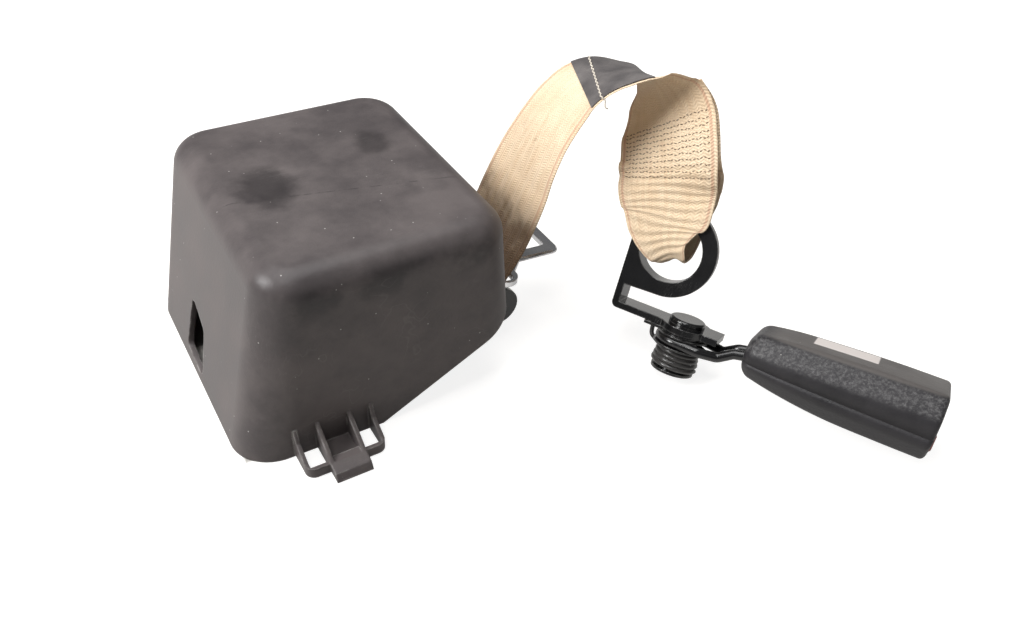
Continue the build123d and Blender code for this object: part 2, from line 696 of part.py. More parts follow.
def make_bush():
    """Shouldered bush with a closed, domed head; the mounting stud enters from below."""
    head = Cylinder(BUSH_HEAD, BUSH_HEAD_THICK, align=(Align.CENTER, Align.CENTER, Align.MIN))
    head = fillet(head.edges().group_by(Axis.Z)[-1], 1.2)
    shank = Cylinder(BUSH_SHANK, BUSH_LENGTH, align=(Align.CENTER, Align.CENTER, Align.MAX))
    bore = Cylinder(BOLT_BORE / 2, BOLT_DEPTH, align=(Align.CENTER, Align.CENTER, Align.MIN))
    return head + shank - Pos(0, 0, -BUSH_LENGTH) * bore


def ring_washer(inner, outer, top, thick):
    """A flat washer about the bolt axis, whose upper face is at top."""
    washer = Cylinder(outer, thick, align=(Align.CENTER, Align.CENTER, Align.MAX))
    washer -= Cylinder(inner, 10 * thick)
    return Pos(0, 0, top) * washer


def make_index_plate():
    """Thin plate under the strap whose tab holds the spring's upper arm."""
    face = Circle(STRAP_END_RADIUS - 1)
    face += Pos(-11, -3) * Rectangle(12, 8)
    face -= Circle(BUSH_SHANK + RUNNING_GAP)
    return extrude(Pos(0, 0, -PLATE) * face, -INDEX_PLATE)


def make_washers():
    """Two thin washers, above and below the rod's eye."""
    inner = BUSH_SHANK + RUNNING_GAP
    upper = ring_washer(inner, 11.5, -PLATE - INDEX_PLATE, WASHER)
    lower = ring_washer(inner, 12, ROD_EYE_Z - ROD / 2, WASHER)
    return upper, lower


def make_collar():
    """Collar swaged on the shank's end, which keeps the spring on."""
    return ring_washer(BUSH_SHANK, 9.6, -BUSH_LENGTH + 1.2, 1.2)


def rod_along(points, radius, sides):
    """A rod of one section through a list of places, with short flat facets."""
    sections = []
    for index, at in enumerate(points):
        before = points[max(index - 1, 0)]
        after = points[min(index + 1, len(points) - 1)]
        along = (after - before).normalized()
        across = (Vector(0, 0, 1) - along * along.Z).normalized()
        sections.append(Plane(origin=at, x_dir=across, z_dir=along) * RegularPolygon(radius, sides))
    return loft(sections, ruled=True)


def coil_points(radius, spread, turns, steps, height):
    """Places along a coil about +Z that sinks by height and widens by spread."""
    points = []
    for i in range(int(turns * steps) + 1):
        share = i / (turns * steps)
        angle = math.pi + 2 * math.pi * i / steps
        reach = radius + spread * share
        points.append(Vector(reach * math.cos(angle), reach * math.sin(angle), -height * share))
    return points


def make_torsion_spring():
    """Close coil about the bush's shank that widens downwards, with an arm up to the index plate."""
    top = ROD_EYE_Z - ROD / 2 - WASHER - SIDE_GAP - COIL_WIRE / 2
    height = (COIL_WIRE + 0.1) * COIL_TURNS
    mean = COIL_RADIUS + COIL_WIRE / 2
    coil = [Vector(p.X, p.Y, top + p.Z) for p in coil_points(mean, COIL_SPREAD, COIL_TURNS, COIL_STEPS, height)]
    tab = -PLATE - INDEX_PLATE - COIL_WIRE / 2 - 0.05
    arm = [Vector(-14.8, 4.5, tab), Vector(-15.2, 4.2, tab - 2.5), Vector(-14.6, 3.6, top + 0.6),
           Vector(-12.2, 2.4, top - 0.4)]
    return rod_along([*arm, *coil[1:]], COIL_WIRE / 2, 8)


def make_stalk():
    """Bent rod: an eye round the shank and two legs that run into the buckle."""
    eye = BUSH_SHANK + 0.08 + ROD / 2
    z = ROD_EYE_Z
    spread = LEG_SPREAD
    corners = [(0, -eye, z), (10, -eye, z), (18, -spread - 1, z), (24, -spread, z + 4), (33, -spread, LEG_Z),
               (44, -spread, LEG_Z)]
    leg = FilletPolyline(*corners, radius=[4, 5, 4, 4])
    near = [leg @ (i / 24) for i in range(1, 25)]
    far = [Vector(p.X, -p.Y, p.Z) for p in reversed(near)]
    turn = [math.radians(a) for a in range(90, 271, 15)]
    back = [Vector(eye * math.cos(a), eye * math.sin(a), z) for a in turn]
    return rod_along([*far, *back, *near], ROD / 2, 12)


# Buckle


def boot_section(x, width, thick, z, inset, bevel):
    """Eight-sided section of the boot in the plane across its length."""
    w = width / 2 - inset
    t = thick / 2 - inset
    b = bevel - inset * 0.6
    points = [(-w + b, t), (w - b, t), (w, t - b), (w, -t + b), (w - b, -t), (-w + b, -t), (-w, -t + b), (-w, t - b)]
    face = Polygon(*points, align=None)
    return Plane(origin=(x, 0, z), x_dir=(0, 1, 0), z_dir=(1, 0, 0)) * face


def boot_form(inset):
    """The boot's tapered eight-sided body."""
    mid = BOOT_START + BOOT_LENGTH * 0.45
    mid_z = (BOOT_REAR_Z + BOOT_FRONT_Z) / 2 + 0.5
    first = boot_section(BOOT_START + inset, BOOT_REAR_WIDTH, BOOT_REAR_THICK, BOOT_REAR_Z, inset, BOOT_BEVEL * 0.7)
    middle = boot_section(mid, BOOT_WIDTH - 1, BOOT_THICK - 1, mid_z, inset, BOOT_BEVEL)
    last = boot_section(BOOT_END + (1 if inset else 0), BOOT_WIDTH, BOOT_THICK, BOOT_FRONT_Z, inset, BOOT_BEVEL)
    return loft([first, middle, last], ruled=True)


def half_space(upper):
    """A big block above or below the boot's parting plane."""
    size = 3 * BOOT_LENGTH
    block = Box(size, size, size, align=(Align.CENTER, Align.CENTER, Align.MIN if upper else Align.MAX))
    return Pos(BOOT_START + BOOT_LENGTH / 2, 0, BOOT_REAR_Z + 1.0) * block


def make_boot(upper):
    """One half of the boot's shell, split along its side."""
    shell = boot_form(0) - boot_form(BOOT_WALL)
    rear = Pos(BOOT_START, 0, LEG_Z) * Box(10, 2 * LEG_SPREAD + ROD + 3.6, ROD + 2)
    return (shell & half_space(upper)) - rear


def local_box(x0, x1, half_y, z0, z1):
    """A box about the buckle's middle plane, between two x and two z values."""
    return Pos((x0 + x1) / 2, 0, (z0 + z1) / 2) * Box(x1 - x0, 2 * half_y, z1 - z0)


def make_stalk_block():
    """Block crimped on the two legs of the rod inside the boot."""
    block = local_box(BOOT_START + 8, BOOT_START + 20, 9.5, LEG_Z - 3.4, LEG_Z + 3.6)
    for side in (-1, 1):
        block -= Pos(BOOT_START + 14, side * LEG_SPREAD, LEG_Z) * Rot(0, 90, 0) * Cylinder(ROD / 2, 30)
    return block


def pin_bar(radius, length):
    """A round bar on the latch's axis."""
    return Pos(PIN_X, 0, PIN_Z) * Rot(90, 0, 0) * Cylinder(radius, length)


def make_buckle_frame():
    """Steel channel that guides the tongue and carries the latch."""
    frame = local_box(GUIDE_START, GUIDE_END, 13.5, -7, -5)
    for side in (-1, 1):
        frame += Pos(0, side * 12.5, 0) * local_box(GUIDE_START + 0.5, GUIDE_END, 1, -7, 6)
    window = local_box(GUIDE_END - 18, GUIDE_END - 8, 6, -8, -4)
    return frame - window - pin_bar(PIN_RADIUS + RUNNING_GAP, 60)


def make_latch_pin():
    """Pivot pin of the latch."""
    return pin_bar(PIN_RADIUS, 28)


def make_latch():
    """Latch plate with a hub on its pin and a tooth that drops into the tongue's window."""
    plate = local_box(PIN_X, GUIDE_END - 4, 10.5, 2.2, 4)
    bite = GUIDE_END - 14
    tooth = Polygon((bite, 2.3), (bite, -1.5), (bite + 3, -1.5), (bite + 6, 2.3), align=None)
    plate += extrude(Plane.XZ * tooth, 5.5, both=True)
    return plate + pin_bar(3.2, 21) - pin_bar(PIN_RADIUS + RUNNING_GAP, 60)


def make_ejector():
    """Plastic slider that pushes the tongue out."""
    slider = local_box(GUIDE_END - 18, GUIDE_END - 4, 8, -4.8, -2.6)
    return slider + local_box(GUIDE_END - 18, GUIDE_END - 16, 8, -2.6, -0.8)


def coil_spring(x0, x1, radius, wire, turns, z):
    """A compression spring along the buckle's length."""
    points = coil_points(radius, 0, turns, 8, x1 - x0 - wire)
    return Pos(x1 - wire / 2, 0, z) * Rot(0, 90, 0) * rod_along(points, wire / 2, 6)


def make_button():
    """Release button with a finger recess, below the tongue's mouth."""
    button = local_box(BOOT_END - 11.5, BOOT_END + 1, 13, -8.5, -1.1)
    button = fillet(button.edges().group_by(Axis.X)[-1], 1.2)
    recess = Pos(BOOT_END + 9.4, 0, -5) * Rot(90, 0, 0) * Cylinder(9.5, 20)
    return button - recess


def make_bezel():
    """Front plate of the boot, with the tongue's mouth above and the button's window below."""
    face = boot_section(BOOT_END - 3, BOOT_WIDTH, BOOT_THICK, BOOT_FRONT_Z, BOOT_WALL + 0.3, BOOT_BEVEL)
    plate = extrude(face, 3)
    plate -= local_box(BOOT_END - 10, BOOT_END + 10, 13.8, 1.4, 8.8)
    return plate - local_box(BOOT_END - 10, BOOT_END + 10, 13.3, -8.8, -0.8)


def main():
    """Build every node and write it."""
    os.makedirs("parts", exist_ok=True)
    save("retractor_cover", make_cover())
    save("retractor_frame", make_frame())
    save("tie_bars", make_tie_bars())
    save("near_bearing", make_bearing(-1))
    save("far_bearing", make_bearing(1))
    save("spool_core", make_spool())
    save("webbing_roll", make_roll())
    save("spool_axle", make_axle())
    save("lock_wheel", make_ratchet())
    save("sensor_disc", make_sensor_disc())
    save("lock_pawl", make_pawl())
    save("pawl_pin", make_pawl_pin())
    save("sensor_seat", make_sensor_seat())
    save("sensor_ball", make_sensor_ball())
    save("sensor_lever", make_sensor_lever())
    save("lever_pin", make_lever_pin())
    save("lock_cover", make_lock_cover())
    save("spring_case", make_spring_case())
    save("spring_cap", make_spring_cap())
    save("clock_spring", make_clock_spring())
    save("spring_arbor", make_arbor())
    save("case_screws", make_case_screws())
    save("mouth_guide", make_mouth_guide())
    save("webbing", make_webbing())
    save("webbing_label", make_label())
    save("webbing_tail", make_tail())
    save("webbing_end_loop", in_anchor(make_end_loop()))
    save("tongue", make_tongue())
    save("anchor_bracket", in_anchor(make_bracket()))
    save("anchor_bush", in_anchor(make_bush()))
    save("index_plate", in_anchor(make_index_plate()))
    save("torsion_spring", in_anchor(make_torsion_spring()))
    save("buckle_stalk", in_anchor(make_stalk()))
    upper, lower = make_washers()
    save("upper_washer", in_anchor(upper))
    save("lower_washer", in_anchor(lower))
    save("shank_collar", in_anchor(make_collar()))
    save("stalk_block", in_anchor(make_stalk_block()))
    save("buckle_frame", in_anchor(make_buckle_frame()))
    save("latch_pin", in_anchor(make_latch_pin()))
    save("latch", in_anchor(make_latch()))
    save("ejector", in_anchor(make_ejector()))
    save("ejector_spring", in_anchor(coil_spring(GUIDE_START - 0.3, GUIDE_END - 18.2, 1.4, 0.6, 7, -3.2)))
    save("button_spring", in_anchor(coil_spring(GUIDE_END + 0.2, BOOT_END - 11.7, 2.2, 0.7, 4, -5.2)))
    save("release_button", in_anchor(make_button()))
    save("mouth_bezel", in_anchor(make_bezel()))
    save("boot_upper", in_anchor(make_boot(True)))
    save("boot_lower", in_anchor(make_boot(False)))


main()
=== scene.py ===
"""Looks of a lap belt assembly: covered retractor, arched webbing, ring bracket and buckle.

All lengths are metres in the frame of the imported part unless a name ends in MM.
"""

from __future__ import annotations

import json
import logging
import math
from dataclasses import dataclass
from enum import Enum

import bmesh
import bpy
import numpy as np
from mathutils import Matrix, Vector

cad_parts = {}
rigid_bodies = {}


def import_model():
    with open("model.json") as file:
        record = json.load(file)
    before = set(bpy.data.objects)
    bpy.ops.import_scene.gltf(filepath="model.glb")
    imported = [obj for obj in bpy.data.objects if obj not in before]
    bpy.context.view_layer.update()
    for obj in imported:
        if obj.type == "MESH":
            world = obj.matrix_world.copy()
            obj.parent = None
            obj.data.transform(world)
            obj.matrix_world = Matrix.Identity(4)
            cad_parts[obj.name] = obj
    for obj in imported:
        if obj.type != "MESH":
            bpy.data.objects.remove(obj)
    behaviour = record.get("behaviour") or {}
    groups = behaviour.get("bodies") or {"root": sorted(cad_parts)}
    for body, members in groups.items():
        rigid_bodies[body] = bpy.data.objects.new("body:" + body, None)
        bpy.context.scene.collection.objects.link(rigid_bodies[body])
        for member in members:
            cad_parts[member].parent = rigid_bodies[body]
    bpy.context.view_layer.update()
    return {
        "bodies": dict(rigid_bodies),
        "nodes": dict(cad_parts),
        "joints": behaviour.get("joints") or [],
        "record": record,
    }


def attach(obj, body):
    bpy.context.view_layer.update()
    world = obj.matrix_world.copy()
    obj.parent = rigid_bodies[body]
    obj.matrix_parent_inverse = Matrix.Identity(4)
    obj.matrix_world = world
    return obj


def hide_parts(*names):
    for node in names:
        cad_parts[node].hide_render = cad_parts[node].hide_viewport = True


LOG = logging.getLogger("seat_belt")
MM = 0.001


class Body(Enum):
    """Rigid bodies of the part that new pieces ride on."""

    RETRACTOR = "retractor"
    ANCHOR = "anchor"
    BUCKLE = "buckle"


# Frames and curves


@dataclass(frozen=True)
class AnchorFrame:
    """The tilted frame of the bracket and buckle: X along the buckle, Z along the bolt."""

    origin: tuple[float, float, float] = (0.169, -0.0814, 0.024)
    heading: float = math.radians(-61.4)
    lean: float = math.radians(24.0)

    def axes(self) -> np.ndarray:
        """Rows are the frame's X, Y and Z directions."""
        ch, sh = math.cos(self.heading), math.sin(self.heading)
        cl, sl = math.cos(self.lean), math.sin(self.lean)
        x = np.array([ch, sh, 0.0])
        z = np.array([-sh * sl, ch * sl, cl])
        return np.array([x, np.cross(z, x), z])

    def place(self, points_mm: np.ndarray) -> np.ndarray:
        """World places of points given in this frame.

        Args:
            points_mm: Array of rows x, y, z in millimetres.

        Returns:
            Array of rows in metres: origin plus the point times the axes.
        """
        return np.asarray(points_mm, float) * MM @ self.axes() + np.array(self.origin)


def hermite(knots: np.ndarray, values: np.ndarray, at: np.ndarray) -> np.ndarray:
    """Smooth curve through values: on each span a cubic with slopes from its neighbours.

    Args:
        knots: Rising parameter of each value.
        values: One row per knot.
        at: Parameters to evaluate at.

    Returns:
        One row per parameter.
    """
    slopes = np.gradient(values, knots, axis=0)
    span = np.clip(np.searchsorted(knots, at, side="right") - 1, 0, len(knots) - 2)
    width = (knots[span + 1] - knots[span])[:, None]
    t = (at[:, None] - knots[span][:, None]) / width
    start, end = values[span], values[span + 1]
    return (
        start * (2 * t**3 - 3 * t**2 + 1)
        + slopes[span] * width * (t**3 - 2 * t**2 + t)
        + end * (3 * t**2 - 2 * t**3)
        + slopes[span + 1] * width * (t**3 - t**2)
    )


def unit(rows: np.ndarray) -> np.ndarray:
    """Rows scaled to length one."""
    return rows / np.linalg.norm(rows, axis=-1, keepdims=True)


def smooth(low: float, high: float, x: np.ndarray) -> np.ndarray:
    """Step from 0 to 1 between low and high along 3t^2 - 2t^3."""
    t = np.clip((x - low) / (high - low), 0, 1)
    return t * t * (3 - 2 * t)


# Meshes


def grid_faces(rows: int, columns: int, wrap: bool = False) -> np.ndarray:
    """Quads of a grid of points stored row by row.

    Args:
        rows: Number of rows.
        columns: Number of points in a row.
        wrap: Whether the last column joins the first.

    Returns:
        Array of four indices per face.
    """
    r = np.arange(rows - 1)[:, None] * columns
    c = np.arange(columns if wrap else columns - 1)[None, :]
    n = (c + 1) % columns
    return np.stack([r + c, r + n, r + columns + n, r + columns + c], -1).reshape(-1, 4)


def make_object(
    name: str,
    points: np.ndarray,
    faces: list[list[int]] | np.ndarray,
    uv: np.ndarray | None = None,
) -> bpy.types.Object:
    """A smooth shaded mesh object at the origin.

    Args:
        name: Name of the piece.
        points: Rows of world places in metres.
        faces: Indices of each face's corners.
        uv: Optional pair per point, kept in the map called UVMap.

    Returns:
        The linked object.
    """
    mesh = bpy.data.meshes.new(name)
    rows = faces.tolist() if isinstance(faces, np.ndarray) else faces
    mesh.from_pydata(points.reshape(-1, 3).tolist(), [], rows)
    if uv is not None:
        corner = np.empty(len(mesh.loops), dtype=np.int32)
        mesh.loops.foreach_get("vertex_index", corner)
        layer = mesh.uv_layers.new(name="UVMap")
        layer.data.foreach_set("uv", uv.reshape(-1, 2)[corner].ravel())
    mesh.polygons.foreach_set("use_smooth", np.ones(len(mesh.polygons), dtype=bool))
    mesh.update()
    piece = bpy.data.objects.new(name, mesh)
    bpy.context.scene.collection.objects.link(piece)
    return piece


def tube(name: str, path: np.ndarray, radius: float, sides: int = 16) -> bpy.types.Object:
    """A round rod with domed ends along a path.

    Each ring is the path's point plus radius times (cos a, sin a) in a frame that is
    carried along the path without twist; the last rings shrink on a quarter circle.

    Args:
        name: Name of the piece.
        path: Rows of points in metres.
        radius: The rod's radius.
        sides: Points round the rod.

    Returns:
        The closed mesh object.
    """
    along = unit(np.gradient(path, axis=0))
    normal = np.zeros_like(path)
    first = np.cross(along[0], [0.0, 0.0, 1.0])
    normal[0] = unit(first if np.linalg.norm(first) > 1e-3 else np.array([1.0, 0, 0]))
    for i in range(1, len(path)):
        turned = normal[i - 1] - along[i] * np.dot(normal[i - 1], along[i])
        normal[i] = unit(turned)
    other = np.cross(along, normal)
    dome = np.array([0.05, 0.5, 0.87])
    lift = radius * (1 - np.sqrt(1 - dome**2))
    centre = np.concatenate([
        path[0] - along[0] * (radius * 0.6 - lift[:, None]),
        path,
        path[-1] + along[-1] * (radius * 0.6 - lift[::-1, None]),
    ])
    size = np.concatenate([dome, np.ones(len(path)), dome[::-1]]) * radius
    pick = np.concatenate([[0] * 3, np.arange(len(path)), [len(path) - 1] * 3])
    angle = np.linspace(0, 2 * math.pi, sides, endpoint=False)
    ring = (
        normal[pick][:, None] * np.cos(angle)[None, :, None]
        + other[pick][:, None] * np.sin(angle)[None, :, None]
    )
    points = centre[:, None] + ring * size[:, None, None]
    faces = grid_faces(len(centre), sides, wrap=True).tolist()
    last = (len(centre) - 1) * sides
    faces.append(list(range(sides))[::-1])
    faces.append([last + i for i in range(sides)])
    return make_object(name, points, faces)


def dress(piece: bpy.types.Object, material: bpy.types.Material) -> None:
    """Give a piece its one material."""
    piece.data.materials.clear()
    piece.data.materials.append(material)


# Shader graphs


class Graph:
    """Short way to add nodes to a shader tree and join them."""

    def __init__(self, tree: bpy.types.NodeTree) -> None:
        """Start on a tree."""
        self.tree = tree

    def add(self, kind: str, sets: dict | None = None, **joins: object) -> bpy.types.Node:
        """Add a node.

        Args:
            kind: The node's type without its ShaderNode prefix.
            sets: Plain properties of the node, such as its operation.
            **joins: Input sockets, by name with _ for blanks or i0, i1 for an index,
                as numbers, tuples or the output sockets of other nodes.

        Returns:
            The new node.
        """
        node = self.tree.nodes.new("ShaderNode" + kind)
        for key, value in (sets or {}).items():
            setattr(node, key, value)
        for key, value in joins.items():
            by_index = key[0] == "i" and key[1:].isdigit()
            socket = node.inputs[int(key[1:])] if by_index else node.inputs[key.replace("_", " ")]
            if isinstance(value, bpy.types.NodeSocket):
                self.tree.links.new(value, socket)
            else:
                socket.default_value = value
        return node

    def math(self, operation: str, *values: object, clamp: bool = False) -> bpy.types.NodeSocket:
        """A Math node's result."""
        joins = {f"i{i}": value for i, value in enumerate(values)}
        return self.add("Math", {"operation": operation, "use_clamp": clamp}, **joins).outputs[0]

    def mix(self, factor: object, first: object, second: object) -> bpy.types.NodeSocket:
        """A colour mix's result."""
        node = self.add("Mix", {"data_type": "RGBA"}, i0=factor, i6=first, i7=second)
        return node.outputs[2]

    def step(
        self, value: object, low: float, high: float, out: tuple[float, float] = (0.0, 1.0)
    ) -> bpy.types.NodeSocket:
        """A smooth step of a value from low to high.

        Args:
            value: The value's socket.
            low: Where the step starts.
            high: Where it ends.
            out: The results at its start and end.

        Returns:
            The result's socket.
        """
        node = self.add(
            "MapRange", {"interpolation_type": "SMOOTHSTEP"}, i0=value, i1=low, i2=high, i3=out[0], i4=out[1]
        )
        return node.outputs[0]

    def noise(self, vector: object, scale: object, detail: float = 4.0, rough: float = 0.55) -> bpy.types.NodeSocket:
        """A noise value over a vector."""
        return self.add("TexNoise", Vector=vector, Scale=scale, Detail=detail, Roughness=rough).outputs["Fac"]

    def mapped(
        self, vector: object, place: tuple = (0, 0, 0), turn: tuple = (0, 0, 0), scale: tuple = (1, 1, 1)
    ) -> bpy.types.NodeSocket:
        """A vector moved, turned and scaled by a Mapping node."""
        node = self.add("Mapping", Vector=vector, Location=place, Rotation=turn, Scale=scale)
        return node.outputs[0]


@dataclass(frozen=True)
class Port:
    """One socket of a shader node group."""

    name: str
    kind: str = "NodeSocketFloat"
    value: object = None


def new_group(name: str, inputs: list[Port], outputs: list[Port]) -> tuple[bpy.types.NodeTree, Graph, dict]:
    """Start a shader node group.

    Args:
        name: Name of the group.
        inputs: Its input sockets with their first values.
        outputs: Its output sockets.

    Returns:
        The tree, its graph and the input sockets' sources by name.
    """
    tree = bpy.data.node_groups.new(name, "ShaderNodeTree")
    for port in inputs:
        socket = tree.interface.new_socket(port.name, in_out="INPUT", socket_type=port.kind)
        if port.value is not None:
            socket.default_value = port.value
    for port in outputs:
        tree.interface.new_socket(port.name, in_out="OUTPUT", socket_type=port.kind)
    source = tree.nodes.new("NodeGroupInput")
    return tree, Graph(tree), {port.name: source.outputs[port.name] for port in inputs}


def end_group(graph: Graph, **results: object) -> None:
    """Join results to the group's outputs, by name with _ for blanks.

    Args:
        graph: The group's graph.
        **results: The sockets to join.
    """
    sink = graph.tree.nodes.new("NodeGroupOutput")
    for key, value in results.items():
        graph.tree.links.new(value, sink.inputs[key.replace("_", " ")])


class Effects:
    """Shader node groups that several materials share."""

    def __init__(self) -> None:
        """Build every group once."""
        self.wear = self.build_wear()
        self.grain = self.build_grain()
        self.specks = self.build_specks()
        self.scratches = self.build_scratches()
        self.weave = self.build_weave()

    @staticmethod
    def build_wear() -> bpy.types.NodeTree:
        """Rounded normal, and a mask where it leaves the flat one: the worn edges.

        Returns:
            The group's tree.
        """
        tree, g, src = new_group(
            "edge_wear",
            [Port("Radius", value=0.001), Port("Breakup", value=60.0), Port("Amount", value=1.0)],
            [Port("Mask"), Port("Normal", "NodeSocketVector")],
        )
        bevel = g.add("Bevel", {"samples": 6}, Radius=src["Radius"]).outputs[0]
        flat = g.add("NewGeometry").outputs["Normal"]
        align = g.add("VectorMath", {"operation": "DOT_PRODUCT"}, i0=bevel, i1=flat).outputs["Value"]
        away = g.math("SUBTRACT", 1.0, align)
        where = g.add("TexCoord").outputs["Object"]
        broken = g.step(g.noise(where, src["Breakup"], 5.0, 0.6), 0.38, 0.66)
        edge = g.step(away, 0.008, 0.09)
        mask = g.math("MULTIPLY", g.math("MULTIPLY", edge, broken), src["Amount"], clamp=True)
        end_group(g, Mask=mask, Normal=bevel)
        return tree

    @staticmethod
    def build_grain() -> bpy.types.NodeTree:
        """Moulded grain: fine cells on slow mottling.

        Returns:
            The group's tree.
        """
        tree, g, src = new_group(
            "moulded_grain",
            [Port("Vector", "NodeSocketVector"), Port("Scale", value=1400.0), Port("Mottle", value=45.0)],
            [Port("Height"), Port("Patches")],
        )
        cells = g.add("TexVoronoi", Vector=src["Vector"], Scale=src["Scale"]).outputs["Distance"]
        fine = g.noise(src["Vector"], src["Scale"], 2.0)
        height = g.math("ADD", g.math("MULTIPLY", cells, 0.7), g.math("MULTIPLY", fine, 0.5))
        slow = g.noise(src["Vector"], src["Mottle"], 6.0, 0.62)
        slower = g.noise(src["Vector"], g.math("MULTIPLY", src["Mottle"], 0.3), 3.0)
        patches = g.math("ADD", g.math("MULTIPLY", slow, 0.6), g.math("MULTIPLY", slower, 0.4))
        end_group(g, Height=height, Patches=g.step(patches, 0.36, 0.64))
        return tree

    @staticmethod
    def build_specks() -> bpy.types.NodeTree:
        """Sparse small dots of dust.

        Returns:
            The group's tree.
        """
        tree, g, src = new_group(
            "dust_specks",
            [Port("Vector", "NodeSocketVector"), Port("Scale", value=300.0), Port("Share", value=0.2)],
            [Port("Mask")],
        )
        spots = g.add("TexVoronoi", Vector=src["Vector"], Scale=src["Scale"])
        dot = g.step(spots.outputs["Distance"], 0.05, 0.16, (1.0, 0.0))
        chance = g.math("LESS_THAN", g.add("SeparateColor", i0=spots.outputs["Color"]).outputs[0], src["Share"])
        end_group(g, Mask=g.math("MULTIPLY", dot, chance))
        return tree

    @staticmethod
    def build_scratches() -> bpy.types.NodeTree:
        """Thin long marks: noise squeezed along one direction, twice.

        Returns:
            The group's tree.
        """
        tree, g, src = new_group(
            "scratches",
            [Port("Vector", "NodeSocketVector"), Port("Scale", value=90.0), Port("Share", value=0.5)],
            [Port("Mask")],
        )
        marks = []
        for turn, squeeze in (((0.3, 0.1, 0.7), 22.0), ((0.8, 0.4, -0.5), 16.0)):
            vector = g.mapped(src["Vector"], turn=turn, scale=(1.0, squeeze, 1.0))
            value = g.noise(vector, src["Scale"], 2.0, 0.4)
            thin = g.math("ABSOLUTE", g.math("SUBTRACT", value, 0.5))
            patch = g.step(g.noise(src["Vector"], 35.0, 2.0), 0.5, 0.62)
            marks.append(g.math("MULTIPLY", g.step(thin, 0.0, 0.012, (1.0, 0.0)), patch))
        both = g.math("MAXIMUM", marks[0], marks[1])
        end_group(g, Mask=g.math("MULTIPLY", both, src["Share"]))
        return tree

    @staticmethod
    def build_weave() -> bpy.types.NodeTree:
        """Strap weave on the piece's own map, u across and v along, both in metres.

        Warp bundles are ridges sin(2 pi u / pitch) whose crests step sideways in a zigzag,
        crossed by weft ribs sin(2 pi v / rib).

        Returns:
            The group's tree.
        """
        tree, g, src = new_group(
            "strap_weave",
            [Port("Vector", "NodeSocketVector"), Port("Warp", value=0.0012), Port("Weft", value=0.0011)],
            [Port("Height"), Port("Thread"), Port("Selvage")],
        )
        parts = g.add("SeparateXYZ", Vector=src["Vector"])
        u, v = parts.outputs[0], parts.outputs[1]
        warp = g.math("SINE", g.math("MULTIPLY", g.math("DIVIDE", u, src["Warp"]), 2 * math.pi))
        zigzag = g.math("PINGPONG", g.math("DIVIDE", u, g.math("MULTIPLY", src["Warp"], 2.0)), 1.0)
        row = g.math("ADD", g.math("DIVIDE", v, src["Weft"]), zigzag)
        weft = g.math("SINE", g.math("MULTIPLY", row, 2 * math.pi))
        cross = g.math("ADD", g.math("MULTIPLY", warp, 0.35), g.math("MULTIPLY", weft, 0.65))
        jitter = g.noise(src["Vector"], 900.0, 3.0)
        height = g.math("ADD", cross, g.math("MULTIPLY", jitter, 0.8))
        thread = g.math("MULTIPLY_ADD", cross, 0.5, 0.5)
        edge = g.math("ABSOLUTE", g.math("SUBTRACT", u, 0.0235))
        line = g.math("ABSOLUTE", g.math("SUBTRACT", edge, 0.0213))
        end_group(g, Height=height, Thread=thread, Selvage=g.step(line, 0.0003, 0.0009, (1.0, 0.0)))
        return tree

    @staticmethod
    def use(graph: Graph, tree: bpy.types.NodeTree, **joins: object) -> bpy.types.Node:
        """Place a group in a material's graph with its own values.

        Args:
            graph: The material's graph.
            tree: The group to place.
            **joins: Its input sockets by name, as values or other nodes' sockets.

        Returns:
            The group's node.
        """
        node = graph.add("Group", {"node_tree": tree})
        for key, value in joins.items():
            socket = node.inputs[key]
            if isinstance(value, bpy.types.NodeSocket):
                graph.tree.links.new(value, socket)
            else:
                socket.default_value = value
        return node


def start_material(name: str) -> tuple[bpy.types.Material, Graph, bpy.types.Node]:
    """A new material with its graph and its main shader.

    Args:
        name: Name of the material.

    Returns:
        The material, its graph and the shader.
    """
    material = bpy.data.materials.new(name)
    material.use_nodes = True
    graph = Graph(material.node_tree)
    return material, graph, material.node_tree.nodes["Principled BSDF"]


def feed(graph: Graph, shader: bpy.types.Node, **joins: object) -> None:
    """Join or set sockets of the main shader, by name with _ for blanks.

    Args:
        graph: The material's graph.
        shader: The main shader.
        **joins: Values or other nodes' sockets.
    """
    for key, value in joins.items():
        socket = shader.inputs[key.replace("_", " ")]
        if isinstance(value, bpy.types.NodeSocket):
            graph.tree.links.new(value, socket)
        else:
            socket.default_value = value


Colour = tuple[float, float, float, float]
# The boot's pale field: its first and last x, then y, in the anchor's frame.
FIELD = (0.0522, 0.0788, -0.0025, 0.0104)


